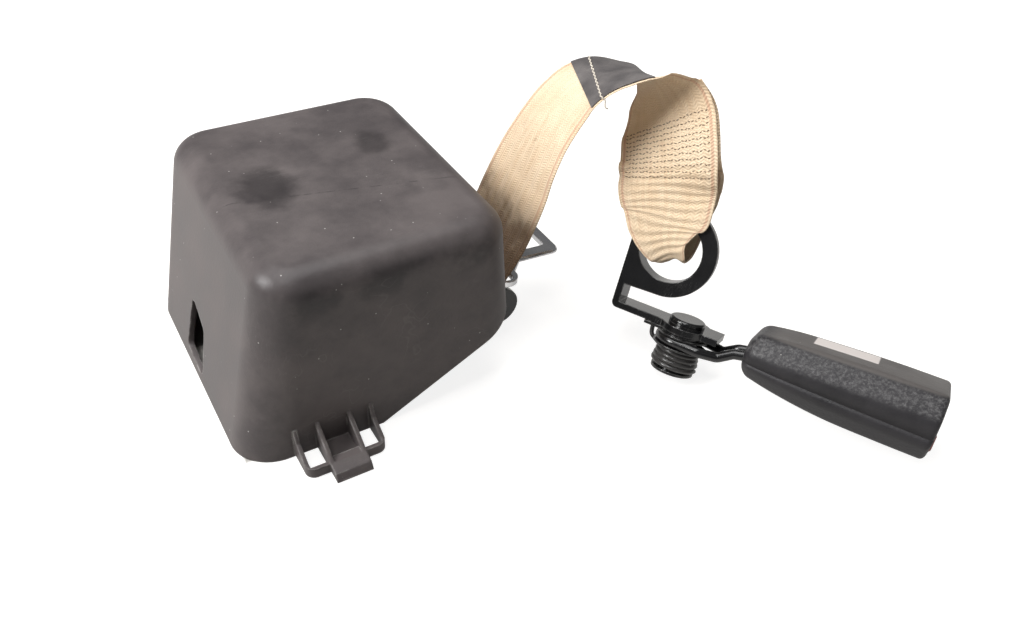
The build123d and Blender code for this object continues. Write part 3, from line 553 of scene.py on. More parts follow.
@dataclass(frozen=True)
class MouldedPlastic:
    """Moulded plastic with grain, mottling, worn edges, dust and scratches."""

    name: str
    colour: Colour
    patch: Colour
    worn: Colour
    rough: float = 0.5
    grain: float = 1400.0
    depth: float = 0.00003
    mottle: float = 45.0
    edge: float = 0.0012
    wear: float = 0.6
    dust: float = 0.12
    scratch: float = 0.4
    shine: float = 0.5

    def build(self, effects: Effects) -> bpy.types.Material:
        """Make the material.

        Args:
            effects: The shared shader groups.

        Returns:
            The material.
        """
        material, g, shader = start_material(self.name)
        where = g.add("TexCoord").outputs["Object"]
        grain = effects.use(g, effects.grain, Vector=where, Scale=self.grain, Mottle=self.mottle)
        wear = effects.use(g, effects.wear, Radius=self.edge, Breakup=130.0, Amount=self.wear)
        specks = effects.use(g, effects.specks, Vector=where, Scale=420.0, Share=self.dust)
        marks = effects.use(g, effects.scratches, Vector=where, Scale=70.0, Share=self.scratch)
        colour = g.mix(grain.outputs["Patches"], self.colour, self.patch)
        colour = self.marks(g, where, colour)
        colour = g.mix(wear.outputs["Mask"], colour, self.worn)
        colour = g.mix(g.math("MULTIPLY", marks.outputs["Mask"], 0.5), colour, self.worn)
        colour = g.mix(g.math("MULTIPLY", specks.outputs["Mask"], 0.7), colour, (0.6, 0.58, 0.55, 1))
        rough = g.math("MULTIPLY_ADD", grain.outputs["Patches"], 0.14, self.rough - 0.07)
        rough = g.math("SUBTRACT", rough, g.math("MULTIPLY", wear.outputs["Mask"], 0.12))
        bump = g.add("Bump", Height=grain.outputs["Height"], Distance=self.depth, Normal=wear.outputs["Normal"])
        feed(g, shader, Base_Color=colour, Roughness=rough, Normal=bump.outputs[0])
        shader.inputs["Specular IOR Level"].default_value = self.shine
        return material

    def marks(self, g: Graph, where: bpy.types.NodeSocket, colour: bpy.types.NodeSocket) -> bpy.types.NodeSocket:
        """Marks at set places of a piece; plain plastic has none.

        Args:
            g: The material's graph.
            where: Object coordinates.
            colour: The colour so far.

        Returns:
            The colour with the marks.
        """
        return colour


SMUDGES = (
    ((0.0183, 0.0123, 0.083), (0.0135, 0.0165, 0.02), 0.7),
    ((0.0700, 0.0270, 0.083), (0.0085, 0.0115, 0.02), 0.55),
)
SMUDGE_COLOUR = (0.018, 0.015, 0.016, 1)
TOP_LINE = (0.2326, -0.0076)


@dataclass(frozen=True)
class ScuffedCover(MouldedPlastic):
    """The retractor cover's plastic, with its two smudges, a long scratch and a scuffed edge."""

    def marks(self, g: Graph, where: bpy.types.NodeSocket, colour: bpy.types.NodeSocket) -> bpy.types.NodeSocket:
        """Dark smudges and the scratch on the top, scuffed band along the front top edge.

        Args:
            g: The material's graph.
            where: Object coordinates.
            colour: The colour so far.

        Returns:
            The colour with the marks.
        """
        ragged = g.math("MULTIPLY_ADD", g.noise(where, 90.0, 5.0), 1.1, -0.55)
        for place, size, depth in SMUDGES:
            inverse = tuple(1 / s for s in size)
            offset = tuple(-p * i for p, i in zip(place, inverse))
            local = g.mapped(where, place=offset, scale=inverse)
            far = g.add("VectorMath", {"operation": "LENGTH"}, i0=local).outputs["Value"]
            smudge = g.step(g.math("ADD", far, ragged), 0.45, 1.15, (depth, 0.0))
            colour = g.mix(smudge, colour, SMUDGE_COLOUR)
        parts = g.add("SeparateXYZ", Vector=where)
        x, y, z = parts.outputs[0], parts.outputs[1], parts.outputs[2]
        line = g.math("ADD", g.math("ADD", y, g.math("MULTIPLY", x, TOP_LINE[0])), TOP_LINE[1])
        thin = g.step(g.math("ABSOLUTE", line), 0.0, 0.0006, (1.0, 0.0))
        on_top = g.step(z, 0.080, 0.0825)
        broken = g.step(g.noise(where, 160.0, 3.0), 0.45, 0.6)
        mark = g.math("MULTIPLY", g.math("MULTIPLY", thin, on_top), g.math("MULTIPLY", broken, 0.6))
        colour = g.mix(mark, colour, (0.03, 0.026, 0.028, 1))
        front = g.step(y, -0.0475, -0.0515)
        high = g.math("MULTIPLY", g.step(z, 0.062, 0.071), g.step(z, 0.0815, 0.0765))
        band = g.math("MULTIPLY", g.math("MULTIPLY", front, high), g.step(g.noise(where, 55.0, 5.0), 0.4, 0.58))
        return g.mix(g.math("MULTIPLY", band, 0.5), colour, (0.02, 0.018, 0.019, 1))


@dataclass(frozen=True)
class BootScuffsPaintedLight(MouldedPlastic):
    """The buckle boot's plastic: scuffs and painted light along its side bevels, a painted sheen on its top face, and
    a bare pale field on top.
    """

    def marks(self, g: Graph, where: bpy.types.NodeSocket, colour: bpy.types.NodeSocket) -> bpy.types.NodeSocket:
        """Scuffs with painted light on the bevels, a painted sheen on the top face, and the field, all set in the
        anchor's frame.

        Args:
            g: The material's graph.
            where: Object coordinates.
            colour: The colour so far.

        Returns:
            The colour with the marks.
        """
        frame = AnchorFrame()
        moved = g.add("VectorMath", {"operation": "SUBTRACT"}, i0=where, i1=frame.origin).outputs[0]
        x, y, z = (
            g.add("VectorMath", {"operation": "DOT_PRODUCT"}, i0=moved, i1=tuple(axis)).outputs["Value"]
            for axis in frame.axes()
        )
        slope = g.math("MULTIPLY_ADD", x, 0.05, -0.0035)
        height = g.math("SUBTRACT", z, slope)
        # Scuffs and painted light: the bevel band is mixed lighter. This is partly real scuffing and partly painted
        # light for the light the bevels catch from above.
        bevel_scuff_and_light = g.math("MULTIPLY", g.step(height, 0.0035, 0.0065), g.step(height, 0.0135, 0.0115))
        broken = g.step(g.noise(where, 750.0, 6.0, 0.75), 0.4, 0.72)
        colour = g.mix(g.math("MULTIPLY", g.math("MULTIPLY", bevel_scuff_and_light, broken), 0.6), colour, (0.2, 0.195, 0.195, 1))
        # Painted sheen: the top face is mixed lighter and warmer, standing in for its reflection of the pale
        # surroundings.
        colour = g.mix(g.step(height, 0.0122, 0.0132, (0.0, 0.75)), colour, (0.15, 0.138, 0.13, 1))
        ends = g.math("MULTIPLY", g.step(x, FIELD[0], FIELD[0] + 0.0006), g.step(x, FIELD[1], FIELD[1] - 0.0006))
        sides = g.math("MULTIPLY", g.step(y, FIELD[2], FIELD[2] + 0.0006), g.step(y, FIELD[3], FIELD[3] - 0.0006))
        field = g.math("MULTIPLY", g.math("MULTIPLY", ends, sides), g.step(z, 0.0085, 0.0095))
        return g.mix(g.math("MULTIPLY", field, 0.93), colour, (0.86, 0.79, 0.75, 1))


@dataclass(frozen=True)
class CoatedSteel:
    """Sheet steel with a coat or plating that wears at the edges."""

    name: str
    colour: Colour
    metallic: float
    rough: float
    worn: Colour = (0.5, 0.49, 0.47, 1)
    coat: float = 0.0
    edge: float = 0.0008
    wear: float = 0.35
    ripple: float = 0.00004

    def build(self, effects: Effects) -> bpy.types.Material:
        """Make the material.

        Args:
            effects: The shared shader groups.

        Returns:
            The material.
        """
        material, g, shader = start_material(self.name)
        where = g.add("TexCoord").outputs["Object"]
        wear = effects.use(g, effects.wear, Radius=self.edge, Breakup=220.0, Amount=self.wear)
        marks = effects.use(g, effects.scratches, Vector=where, Scale=110.0, Share=0.35)
        slow = g.noise(where, 60.0, 5.0)
        tint = g.mix(g.step(slow, 0.35, 0.7), self.colour, tuple(min(1.0, c * 1.5) for c in self.colour))
        colour = g.mix(wear.outputs["Mask"], tint, self.worn)
        colour = g.mix(g.math("MULTIPLY", marks.outputs["Mask"], 0.35), colour, self.worn)
        metal = g.math("MAXIMUM", wear.outputs["Mask"], self.metallic)
        rough = g.math("MULTIPLY_ADD", slow, 0.16, self.rough - 0.08)
        height = g.noise(where, 500.0, 3.0)
        bump = g.add("Bump", Height=height, Distance=self.ripple, Normal=wear.outputs["Normal"])
        feed(g, shader, Base_Color=colour, Metallic=metal, Roughness=rough, Normal=bump.outputs[0])
        shader.inputs["Coat Weight"].default_value = self.coat
        shader.inputs["Coat Roughness"].default_value = 0.12
        return material


@dataclass(frozen=True)
class StrapCloth:
    """Woven strap with stain, handling marks and a tinted selvage."""

    name: str
    colour: Colour = (0.87, 0.7, 0.5, 1)
    deep: Colour = (0.66, 0.45, 0.26, 1)
    stain: Colour = (0.085, 0.045, 0.02, 1)
    stained: bool = True

    def build(self, effects: Effects) -> bpy.types.Material:
        """Make the material.

        Args:
            effects: The shared shader groups.

        Returns:
            The material.
        """
        material, g, shader = start_material(self.name)
        uv = g.add("UVMap", {"uv_map": "UVMap"}).outputs[0]
        where = g.add("TexCoord").outputs["Object"]
        weave = effects.use(g, effects.weave, Vector=uv)
        slow = g.noise(where, 28.0, 5.0, 0.6)
        streak = g.noise(g.mapped(uv, scale=(1.0, 0.12, 1.0)), 420.0, 4.0)
        tone = g.math("ADD", g.math("MULTIPLY", slow, 0.6), g.math("MULTIPLY", streak, 0.4))
        colour = g.mix(g.step(tone, 0.4, 0.68, (0.0, 0.6)), self.colour, self.deep)
        threads = g.step(weave.outputs["Thread"], 0.0, 0.45, (0.35, 0.0))
        colour = g.mix(threads, colour, self.deep)
        colour = g.mix(g.math("MULTIPLY", weave.outputs["Selvage"], 0.45), colour, (0.5, 0.2, 0.12, 1))
        spots = g.step(g.noise(where, 85.0, 3.0), 0.68, 0.78, (0.0, 0.5))
        colour = g.mix(spots, colour, (0.3, 0.18, 0.09, 1))
        if self.stained:
            v = g.add("SeparateXYZ", Vector=uv).outputs[1]
            cloud = g.math("MULTIPLY_ADD", g.noise(where, 55.0, 5.0, 0.62), 0.07, -0.035)
            reach = g.math("ADD", v, cloud)
            colour = g.mix(g.step(reach, 0.094, 0.122, (0.9, 0.0)), colour, self.stain)
            colour = g.mix(g.step(reach, 0.11, 0.155, (0.35, 0.0)), colour, (0.3, 0.17, 0.08, 1))
        bump = g.add("Bump", Height=weave.outputs["Height"], Distance=0.00012)
        feed(g, shader, Base_Color=colour, Roughness=g.math("MULTIPLY_ADD", slow, 0.15, 0.68), Normal=bump.outputs[0])
        shader.inputs["Sheen Weight"].default_value = 0.25
        shader.inputs["Sheen Roughness"].default_value = 0.4
        return material


@dataclass(frozen=True)
class LabelCloth:
    """Coated dark label cloth with creases and small scuffs."""

    name: str

    def build(self, effects: Effects) -> bpy.types.Material:
        """Make the material.

        Args:
            effects: The shared shader groups.

        Returns:
            The material.
        """
        material, g, shader = start_material(self.name)
        uv = g.add("UVMap", {"uv_map": "UVMap"}).outputs[0]
        where = g.add("TexCoord").outputs["Object"]
        weave = effects.use(g, effects.weave, Vector=uv, Warp=0.0005, Weft=0.0005)
        slow = g.noise(where, 70.0, 5.0)
        colour = g.mix(g.step(slow, 0.35, 0.7), (0.085, 0.078, 0.078, 1), (0.17, 0.155, 0.15, 1))
        marks = effects.use(g, effects.scratches, Vector=where, Scale=140.0, Share=0.5)
        colour = g.mix(g.math("MULTIPLY", marks.outputs["Mask"], 0.5), colour, (0.35, 0.33, 0.31, 1))
        crease = g.noise(where, 120.0, 2.0)
        height = g.math("ADD", g.math("MULTIPLY", weave.outputs["Height"], 0.4), g.math("MULTIPLY", crease, 5.0))
        bump = g.add("Bump", Height=height, Distance=0.00006)
        feed(g, shader, Base_Color=colour, Roughness=g.math("MULTIPLY_ADD", slow, 0.2, 0.38), Normal=bump.outputs[0])
        return material


@dataclass(frozen=True)
class Thread:
    """Sewing thread, two plies twisted."""

    name: str
    colour: Colour

    def build(self, effects: Effects) -> bpy.types.Material:
        """Make the material.

        Args:
            effects: The shared shader groups.

        Returns:
            The material.
        """
        material, g, shader = start_material(self.name)
        where = g.add("TexCoord").outputs["Object"]
        ply = g.noise(where, 2600.0, 2.0)
        colour = g.mix(g.step(ply, 0.35, 0.65, (0.0, 0.5)), self.colour, tuple(c * 0.5 for c in self.colour))
        bump = g.add("Bump", Height=ply, Distance=0.00008)
        feed(g, shader, Base_Color=colour, Roughness=g.math("MULTIPLY_ADD", ply, 0.2, 0.6), Normal=bump.outputs[0])
        return material


# The strap


@dataclass(frozen=True)
class Station:
    """One place on the strap's middle line, in millimetres and degrees."""

    place: tuple[float, float, float]
    heading: float
    tilt: float = 0.0

    def width_direction(self) -> np.ndarray:
        """Unit direction across the strap."""
        h, t = math.radians(self.heading), math.radians(self.tilt)
        return np.array([math.cos(h) * math.cos(t), math.sin(h) * math.cos(t), math.sin(t)])


ARCH = (
    Station((38, 0, 18.1), -90),
    Station((60, 0, 18.1), -90),
    Station((82, 0, 18.1), -90),
    Station((99, 0, 18.3), -90),
    Station((106.3, 0, 22.1), -90),
    Station((111.2, -0.8, 31), -91),
    Station((117, -2.8, 43.5), -91),
    Station((121.5, -4, 55.5), -91),
    Station((126, -4.8, 67.5), -92, 2),
    Station((130.5, -5.2, 79), -96, 3),
    Station((136.5, -5.5, 90), -99, 5),
    Station((143.5, -6.2, 99.6), -102, 5),
    Station((150.5, -7.8, 107), -108, 4),
    Station((158, -11.2, 111.7), -115, 6),
    Station((166.2, -15.9, 113.7), -120, 12.6),
    Station((174.1, -20.9, 114), -122, 20),
    Station((177.3, -24.4, 111.0), -107, 29),
    Station((178.4, -29.0, 105.9), -86, 30),
    Station((177.5, -35.7, 99.6), -70, 30),
    Station((174.6, -42.1, 92.9), -64, 29),
    Station((172.1, -47.1, 86.5), -59, 29),
    Station((170.4, -50.7, 80.2), -57, 25),
)
TAIL = (20, 19, 18, 17)
RING = (-16.0, 29.5)
LOOP_LEAN = math.radians(22.0)
LOOP = ((-7.8, 54.5, 0.5), (-7.8, 46.0, -0.3), (-7.8, 38.0, -2.0), (-7.6, 31.0, -1.8), (-6.0, 26.4, -0.5),
        (-2.0, 24.8, 0.0), (2.0, 26.4, 0.0), (3.6, 31.0, 0.0), (3.8, 38.0, -1.0), (4.0, 46.0, -1.5), (3.9, 53.5, -1.0))
BUNCH = ((0.0, 5.2), (7.0, 8.8), (14.0, 13.8), (22.0, 18.8), (31.0, 21.2), (42.0, 22.5), (60.0, 23.5))


@dataclass
class Strap:
    """The whole strap as one ribbon: arch, hanging leg, end loop through the ring and sewn tail."""

    frame: AnchorFrame
    width: float = 0.047
    thick: float = 0.0012
    rings: int = 1150
    columns: int = 23
    tail_gap: float = 0.0024
    rib_pitch: float = 0.0034
    rib_height: float = 0.0003
    label_thick: float = 0.0004
    label_lift: float = 0.0003
    label_side: float = 0.97
    seam_in: float = 0.0065
    box_rows: int = 11
    box_count: int = 24
    box_side: float = 0.84
    stitch_length: float = 0.0013
    stitch_thick: float = 0.00046

    def __post_init__(self) -> None:
        """Work out the middle line, its directions and its length."""
        points, sides = [], []
        for station in ARCH:
            points.append(np.array(station.place) * MM)
            sides.append(station.width_direction())
        axes = self.frame.axes()
        across = axes[0] * math.cos(LOOP_LEAN) + axes[2] * math.sin(LOOP_LEAN)
        for y, height, shift in LOOP:
            reach = height - RING[1]
            x, z = RING[0] - reach * math.sin(LOOP_LEAN), RING[1] + reach * math.cos(LOOP_LEAN)
            points.append(self.frame.place(np.array([x, y, z])) + across * shift * MM)
            sides.append(across)
        stations = np.array([np.array(s.place) * MM for s in ARCH])
        along = unit(np.gradient(stations, axis=0))
        for index in TAIL:
            side = ARCH[index].width_direction()
            outward = -np.cross(along[index], side)
            points.append(stations[index] + unit(outward) * self.tail_gap)
            sides.append(side)
        line = np.array(points)
        knots = np.concatenate([[0], np.cumsum(np.linalg.norm(np.diff(line, axis=0), axis=1))])
        fine = np.linspace(0, knots[-1], self.rings * 4)
        dense = hermite(knots, line, fine)
        length = np.concatenate([[0], np.cumsum(np.linalg.norm(np.diff(dense, axis=0), axis=1))])
        self.length = float(length[-1])
        self.s = np.linspace(0, self.length, self.rings)
        at = np.interp(self.s, length, fine)
        self.middle = hermite(knots, line, at)
        self.along = unit(np.gradient(self.middle, axis=0))
        side = hermite(knots, np.array(sides), at)
        side -= self.along * np.sum(side * self.along, axis=1, keepdims=True)
        self.side = unit(side)
        self.outward = -np.cross(self.along, self.side)
        place = np.interp(knots, fine, length)
        self.leg_at = place[18]
        self.bottom_at = place[len(ARCH) + 5]
        self.station_at = place

    def half_width(self, s: np.ndarray) -> np.ndarray:
        """Half of the ribbon's seen width: full on the leg, bunched where it goes through the ring.

        Args:
            s: Distance along the ribbon, in metres.

        Returns:
            The half widths: a smooth curve through BUNCH by the distance from the loop's bottom.
        """
        far = np.abs(s - self.bottom_at)
        table = np.array(BUNCH) * MM
        return hermite(table[:, 0], table[:, 1:], np.clip(far, 0, table[-1, 0]).ravel())[:, 0].reshape(far.shape)

    def surface(self, s: np.ndarray, u: np.ndarray, lift: np.ndarray | float = 0.0) -> np.ndarray:
        """Points of the ribbon.

        A point is middle(s) + side(s) * half(s) * u + outward(s) * (lift + curl + ribs), where curl
        is a shallow bow that deepens as the ribbon bunches, and ribs are sin(2 pi s / 3.4 mm) on
        the lower leg only.

        Args:
            s: Distance along the ribbon, in metres.
            u: Place across it, from -1 to 1, the same shape as s.
            lift: Height above the middle, towards the outer face.

        Returns:
            World places, one row of three per entry.
        """
        flat_s = np.asarray(s).ravel()
        flat_u = np.asarray(u).ravel()
        middle = np.stack([np.interp(flat_s, self.s, self.middle[:, k]) for k in range(3)], 1)
        side = unit(np.stack([np.interp(flat_s, self.s, self.side[:, k]) for k in range(3)], 1))
        out = unit(np.stack([np.interp(flat_s, self.s, self.outward[:, k]) for k in range(3)], 1))
        half = self.half_width(flat_s)
        bunch = 1 - 2 * half / self.width
        curl = 0.0014 * bunch * (1 - 2 * flat_u**2) + 0.0004 * bunch * np.sin(5.5 * flat_u + 0.6)
        below_box = smooth(self.leg_at + 0.014, self.leg_at + 0.026, flat_s)
        above_ring = 1 - smooth(self.bottom_at - 0.004, self.bottom_at + 0.004, flat_s)
        phase = 2 * math.pi * (flat_s + 0.0005 * np.sin(4 * flat_u + 260 * flat_s)) / self.rib_pitch
        ribs = self.rib_height * (below_box * above_ring) * np.sin(phase) * (1 - flat_u**6)
        height = curl + ribs + np.broadcast_to(np.asarray(lift, float), np.shape(s)).ravel()
        points = middle + side * (half * flat_u)[:, None] + out * height[:, None]
        return points.reshape(np.shape(s) + (3,))

    def ribbon(self, name: str, first: float, last: float, rings: int, lift: float, thick: float,
               span: tuple[float, float] = (-1.0, 1.0)) -> bpy.types.Object:
        """A closed ribbon between two distances, with rounded edges.

        The outline across is a loop: the upper face from edge to edge, then the lower face back,
        with thickness times (1 - |u|^14)^(1/2) so that the edges close softly.

        Args:
            name: Name of the piece.
            first: Where it starts along the strap, in metres.
            last: Where it ends.
            rings: Sections along it.
            lift: Height of its middle above the strap's middle.
            thick: Its thickness.
            span: Its edges across the strap, from -1 to 1.

        Returns:
            The closed mesh object, with u and v in metres.
        """
        s = np.linspace(first, last, rings)
        cos = -np.cos(np.linspace(0, math.pi, self.columns))
        u = np.sign(cos) * np.abs(cos) ** 0.8
        body = np.sqrt(1 - np.abs(u) ** 14) * 0.5 + 0.02
        across = np.concatenate([u, u[::-1]])
        shift = np.concatenate([body, -body[::-1]]) * thick + lift
        real = span[0] + (across + 1) / 2 * (span[1] - span[0])
        grid_s, grid_u = np.meshgrid(s, real, indexing="ij")
        points = self.surface(grid_s, grid_u, np.broadcast_to(shift, grid_s.shape))
        loop = len(across)
        faces = grid_faces(rings, loop, wrap=True)[:, ::-1].tolist()
        half = self.columns
        for base, flip in ((0, False), ((rings - 1) * loop, True)):
            for i in range(half - 1):
                face = [base + i, base + i + 1, base + loop - 2 - i, base + loop - 1 - i]
                faces.append(face[::-1] if flip else face)
        uv = np.stack([(grid_u + 1) / 2 * self.width, grid_s], -1)
        return make_object(name, points, faces, uv)

    def build(self, finish: "Finishes") -> list[bpy.types.Object]:
        """Make the ribbon, its label, its seams and a loose thread.

        Args:
            finish: The materials.

        Returns:
            The pieces, all on the retractor body.
        """
        strap = self.ribbon("strap", 0.0, self.length, self.rings, 0.0, self.thick)
        dress(strap, finish.strap)
        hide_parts("webbing", "webbing_tail", "webbing_end_loop")
        label_from, label_to = self.station_at[12] + 0.002, self.station_at[15] + 0.001
        lift, side = self.thick / 2 + self.label_lift, self.label_side
        label = self.ribbon("sewn_label", label_from, label_to, 90, lift, self.label_thick, (-side, side))
        dress(label, finish.label)
        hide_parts("webbing_label")
        box = self.stitch_box()
        dress(box, finish.seam_thread)
        line = self.label_seam(label_from + self.seam_in)
        dress(line, finish.white_thread)
        pieces = [strap, label, box, line]
        for piece in pieces:
            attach(piece, Body.RETRACTOR.value)
        return pieces

    def stitches(self, name: str, s: np.ndarray, u: np.ndarray, turn: np.ndarray, lift: float,
                 length: float, thick: float) -> bpy.types.Object:
        """Short thread loops lying on the ribbon.

        Each is a small ellipsoid on a 4 by 6 grid of angles: long half axis length / 2 in the
        direction turned from the ribbon's length, short half axes thick / 2.

        Args:
            name: Name of the piece.
            s: Place of each stitch along the ribbon.
            u: Place of each across it.
            turn: Angle of each from the ribbon's length.
            lift: Height above the ribbon's middle.
            length: Length of a stitch.
            thick: The thread's thickness.

        Returns:
            One mesh object with all the stitches.
        """
        centre = self.surface(s, u, lift)
        step = 0.0004
        along = unit(self.surface(s + step, u, lift) - centre)
        across = unit(self.surface(s, u + 0.02, lift) - centre)
        up = np.cross(across, along)
        long_way = along * np.cos(turn)[:, None] + across * np.sin(turn)[:, None]
        short_way = np.cross(up, long_way)
        ring = np.linspace(0, 2 * math.pi, 6, endpoint=False)
        lat = np.radians([-72, -30, 30, 72])
        a = np.sin(lat)[:, None] * np.ones(6)
        b = np.cos(lat)[:, None] * np.cos(ring)
        c = np.cos(lat)[:, None] * np.sin(ring)
        points = (
            centre[:, None, None]
            + long_way[:, None, None] * (a * length / 2)[None, ..., None]
            + short_way[:, None, None] * (b * thick / 2)[None, ..., None]
            + up[:, None, None] * (c * thick / 2)[None, ..., None]
        )
        one = grid_faces(4, 6, wrap=True).tolist() + [[5, 4, 3, 2, 1, 0], [18, 19, 20, 21, 22, 23]]
        faces = [[24 * k + i for i in face] for k in range(len(s)) for face in one]
        return make_object(name, points, faces)

    def stitch_box(self) -> bpy.types.Object:
        """The sewn block that holds the end loop: zigzag rows across the leg on its inner face.

        Returns:
            The stitches as one piece.
        """
        rng = np.random.default_rng(7)
        first, last = self.station_at[18] + 0.002, self.station_at[21] - 0.001
        rows, count = self.box_rows, self.box_count
        s = np.repeat(np.linspace(first, last, rows), count)
        u = np.tile(np.linspace(-self.box_side, self.box_side, count), rows)
        s = s + rng.normal(0, 0.0002, len(s))
        u = u + rng.normal(0, 0.006, len(u))
        turn = np.where(np.arange(len(s)) % 2 == 0, 1.2, 1.95) + rng.normal(0, 0.12, len(s))
        lift = -self.thick / 2 - 0.0001
        return self.stitches("box_stitching", s, u, turn, lift, self.stitch_length, self.stitch_thick)

    def label_seam(self, at: float) -> bpy.types.Object:
        """White lockstitch line across the label, with its loose end past the strap's edge.

        Args:
            at: Place of the line along the ribbon.

        Returns:
            The thread as one tube.
        """
        u = np.linspace(-0.94, 1.02, 240)
        s = at + 0.00025 * np.sin(u * 40)
        lift = self.thick / 2 + 0.00065 + 0.00012 * np.sin(np.linspace(0, 22 * 2 * math.pi, len(u)))
        path = self.surface(s, np.clip(u, -1, 1), lift)
        end = path[-1]
        fall = np.linspace(0, 1, 18)[1:, None]
        loose = end + fall * np.array([0.0016, -0.003, -0.0035]) + np.sin(fall * 6) * np.array([0.0006, 0, 0.0004])
        return tube("label_seam", np.concatenate([path, loose]), 0.00032, 8)


# Steel pieces


def rounded(corners: list[tuple[float, float, float]], radius: float, steps: int = 8) -> np.ndarray:
    """A path with each inner corner replaced by a curve.

    The curve is (1-t)^2 p + 2 t (1-t) c + t^2 q, where p and q lie on the two sides at radius
    times the tangent of half the turn from the corner c.

    Args:
        corners: Places in order.
        radius: Bend radius, in the corners' unit.
        steps: Points on each curve.

    Returns:
        Rows of places.
    """
    rows = np.array(corners, float)
    path = [rows[:1]]
    t = np.linspace(0, 1, steps)[:, None]
    for before, corner, after in zip(rows[:-2], rows[1:-1], rows[2:]):
        back, ahead = unit(before - corner), unit(after - corner)
        turn = math.pi - math.acos(float(np.clip(np.dot(back, ahead), -1, 1)))
        room = 0.48 * min(np.linalg.norm(before - corner), np.linalg.norm(after - corner))
        cut = min(radius * math.tan(turn / 2), room)
        start, end = corner + back * cut, corner + ahead * cut
        path.append((1 - t) ** 2 * start + 2 * t * (1 - t) * corner + t**2 * end)
    path.append(rows[-1:])
    return np.concatenate(path)


@dataclass
class Wires:
    """The round wire parts of the anchor group: the torsion spring and the buckle's stalk."""

    frame: AnchorFrame
    mean: float = 8.5
    spread: float = 1.2
    wire: float = 2.0
    turns: float = 3.5
    top: float = -11.7
    rod: float = 4.4
    eye: float = 9.58
    eye_z: float = -7.4
    spread_y: float = 5.0

    def coil(self) -> bpy.types.Object:
        """The spring: r(a) (cos a, sin a) with z falling by wire + 0.1 mm a turn, r rising by the
        spread, after an arm that comes down from the index plate's tab.

        Returns:
            The spring as one tube.
        """
        angle = np.linspace(0, self.turns * 2 * math.pi, 200)
        share = angle / angle[-1]
        radius = self.mean + self.spread * share
        z = self.top - (self.wire + 0.1) * self.turns * share
        coil = np.stack([radius * np.cos(angle + math.pi), radius * np.sin(angle + math.pi), z], 1)
        tab = -5.45
        arm = [(-14.8, 4.5, tab), (-15.2, 4.2, tab - 2.5), (-14.6, 3.6, self.top + 0.6), (-12.2, 2.4, self.top - 0.4)]
        path = np.concatenate([rounded([*arm, tuple(coil[8])], 3.0), coil[9:]])
        return tube("coil_spring", self.frame.place(path), self.wire / 2 * MM, 14)

    def stalk(self) -> bpy.types.Object:
        """The rod: an eye (e cos a, e sin a) round the shank and two bent legs into the buckle.

        Returns:
            The rod as one tube.
        """
        z, y = self.eye_z, self.spread_y
        leg = rounded([(0, -self.eye, z), (10, -self.eye, z), (18, -y - 1, z), (24, -y, z + 4), (33, -y, z + 6),
                       (44, -y, z + 6)], 4.5)
        turn = np.radians(np.arange(95, 270, 5))
        eye = np.stack([self.eye * np.cos(turn), self.eye * np.sin(turn), np.full(len(turn), z)], 1)
        far = leg[::-1] * np.array([1, -1, 1])
        return tube("stalk_rod", self.frame.place(np.concatenate([far, eye, leg])), self.rod / 2 * MM, 18)

    def build(self, finish: "Finishes") -> list[bpy.types.Object]:
        """Make both wires, each on its own body.

        Args:
            finish: The materials.

        Returns:
            The spring and the stalk.
        """
        spring, stalk = self.coil(), self.stalk()
        for piece, node, slot, body, material in (
            (spring, "torsion_spring", "spring_steel", Body.ANCHOR, finish.spring),
            (stalk, "buckle_stalk", "black_steel", Body.BUCKLE, finish.black),
        ):
            dress(piece, material)
            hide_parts(node)
            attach(piece, body.value)
        return [spring, stalk]


# The buckle's boot


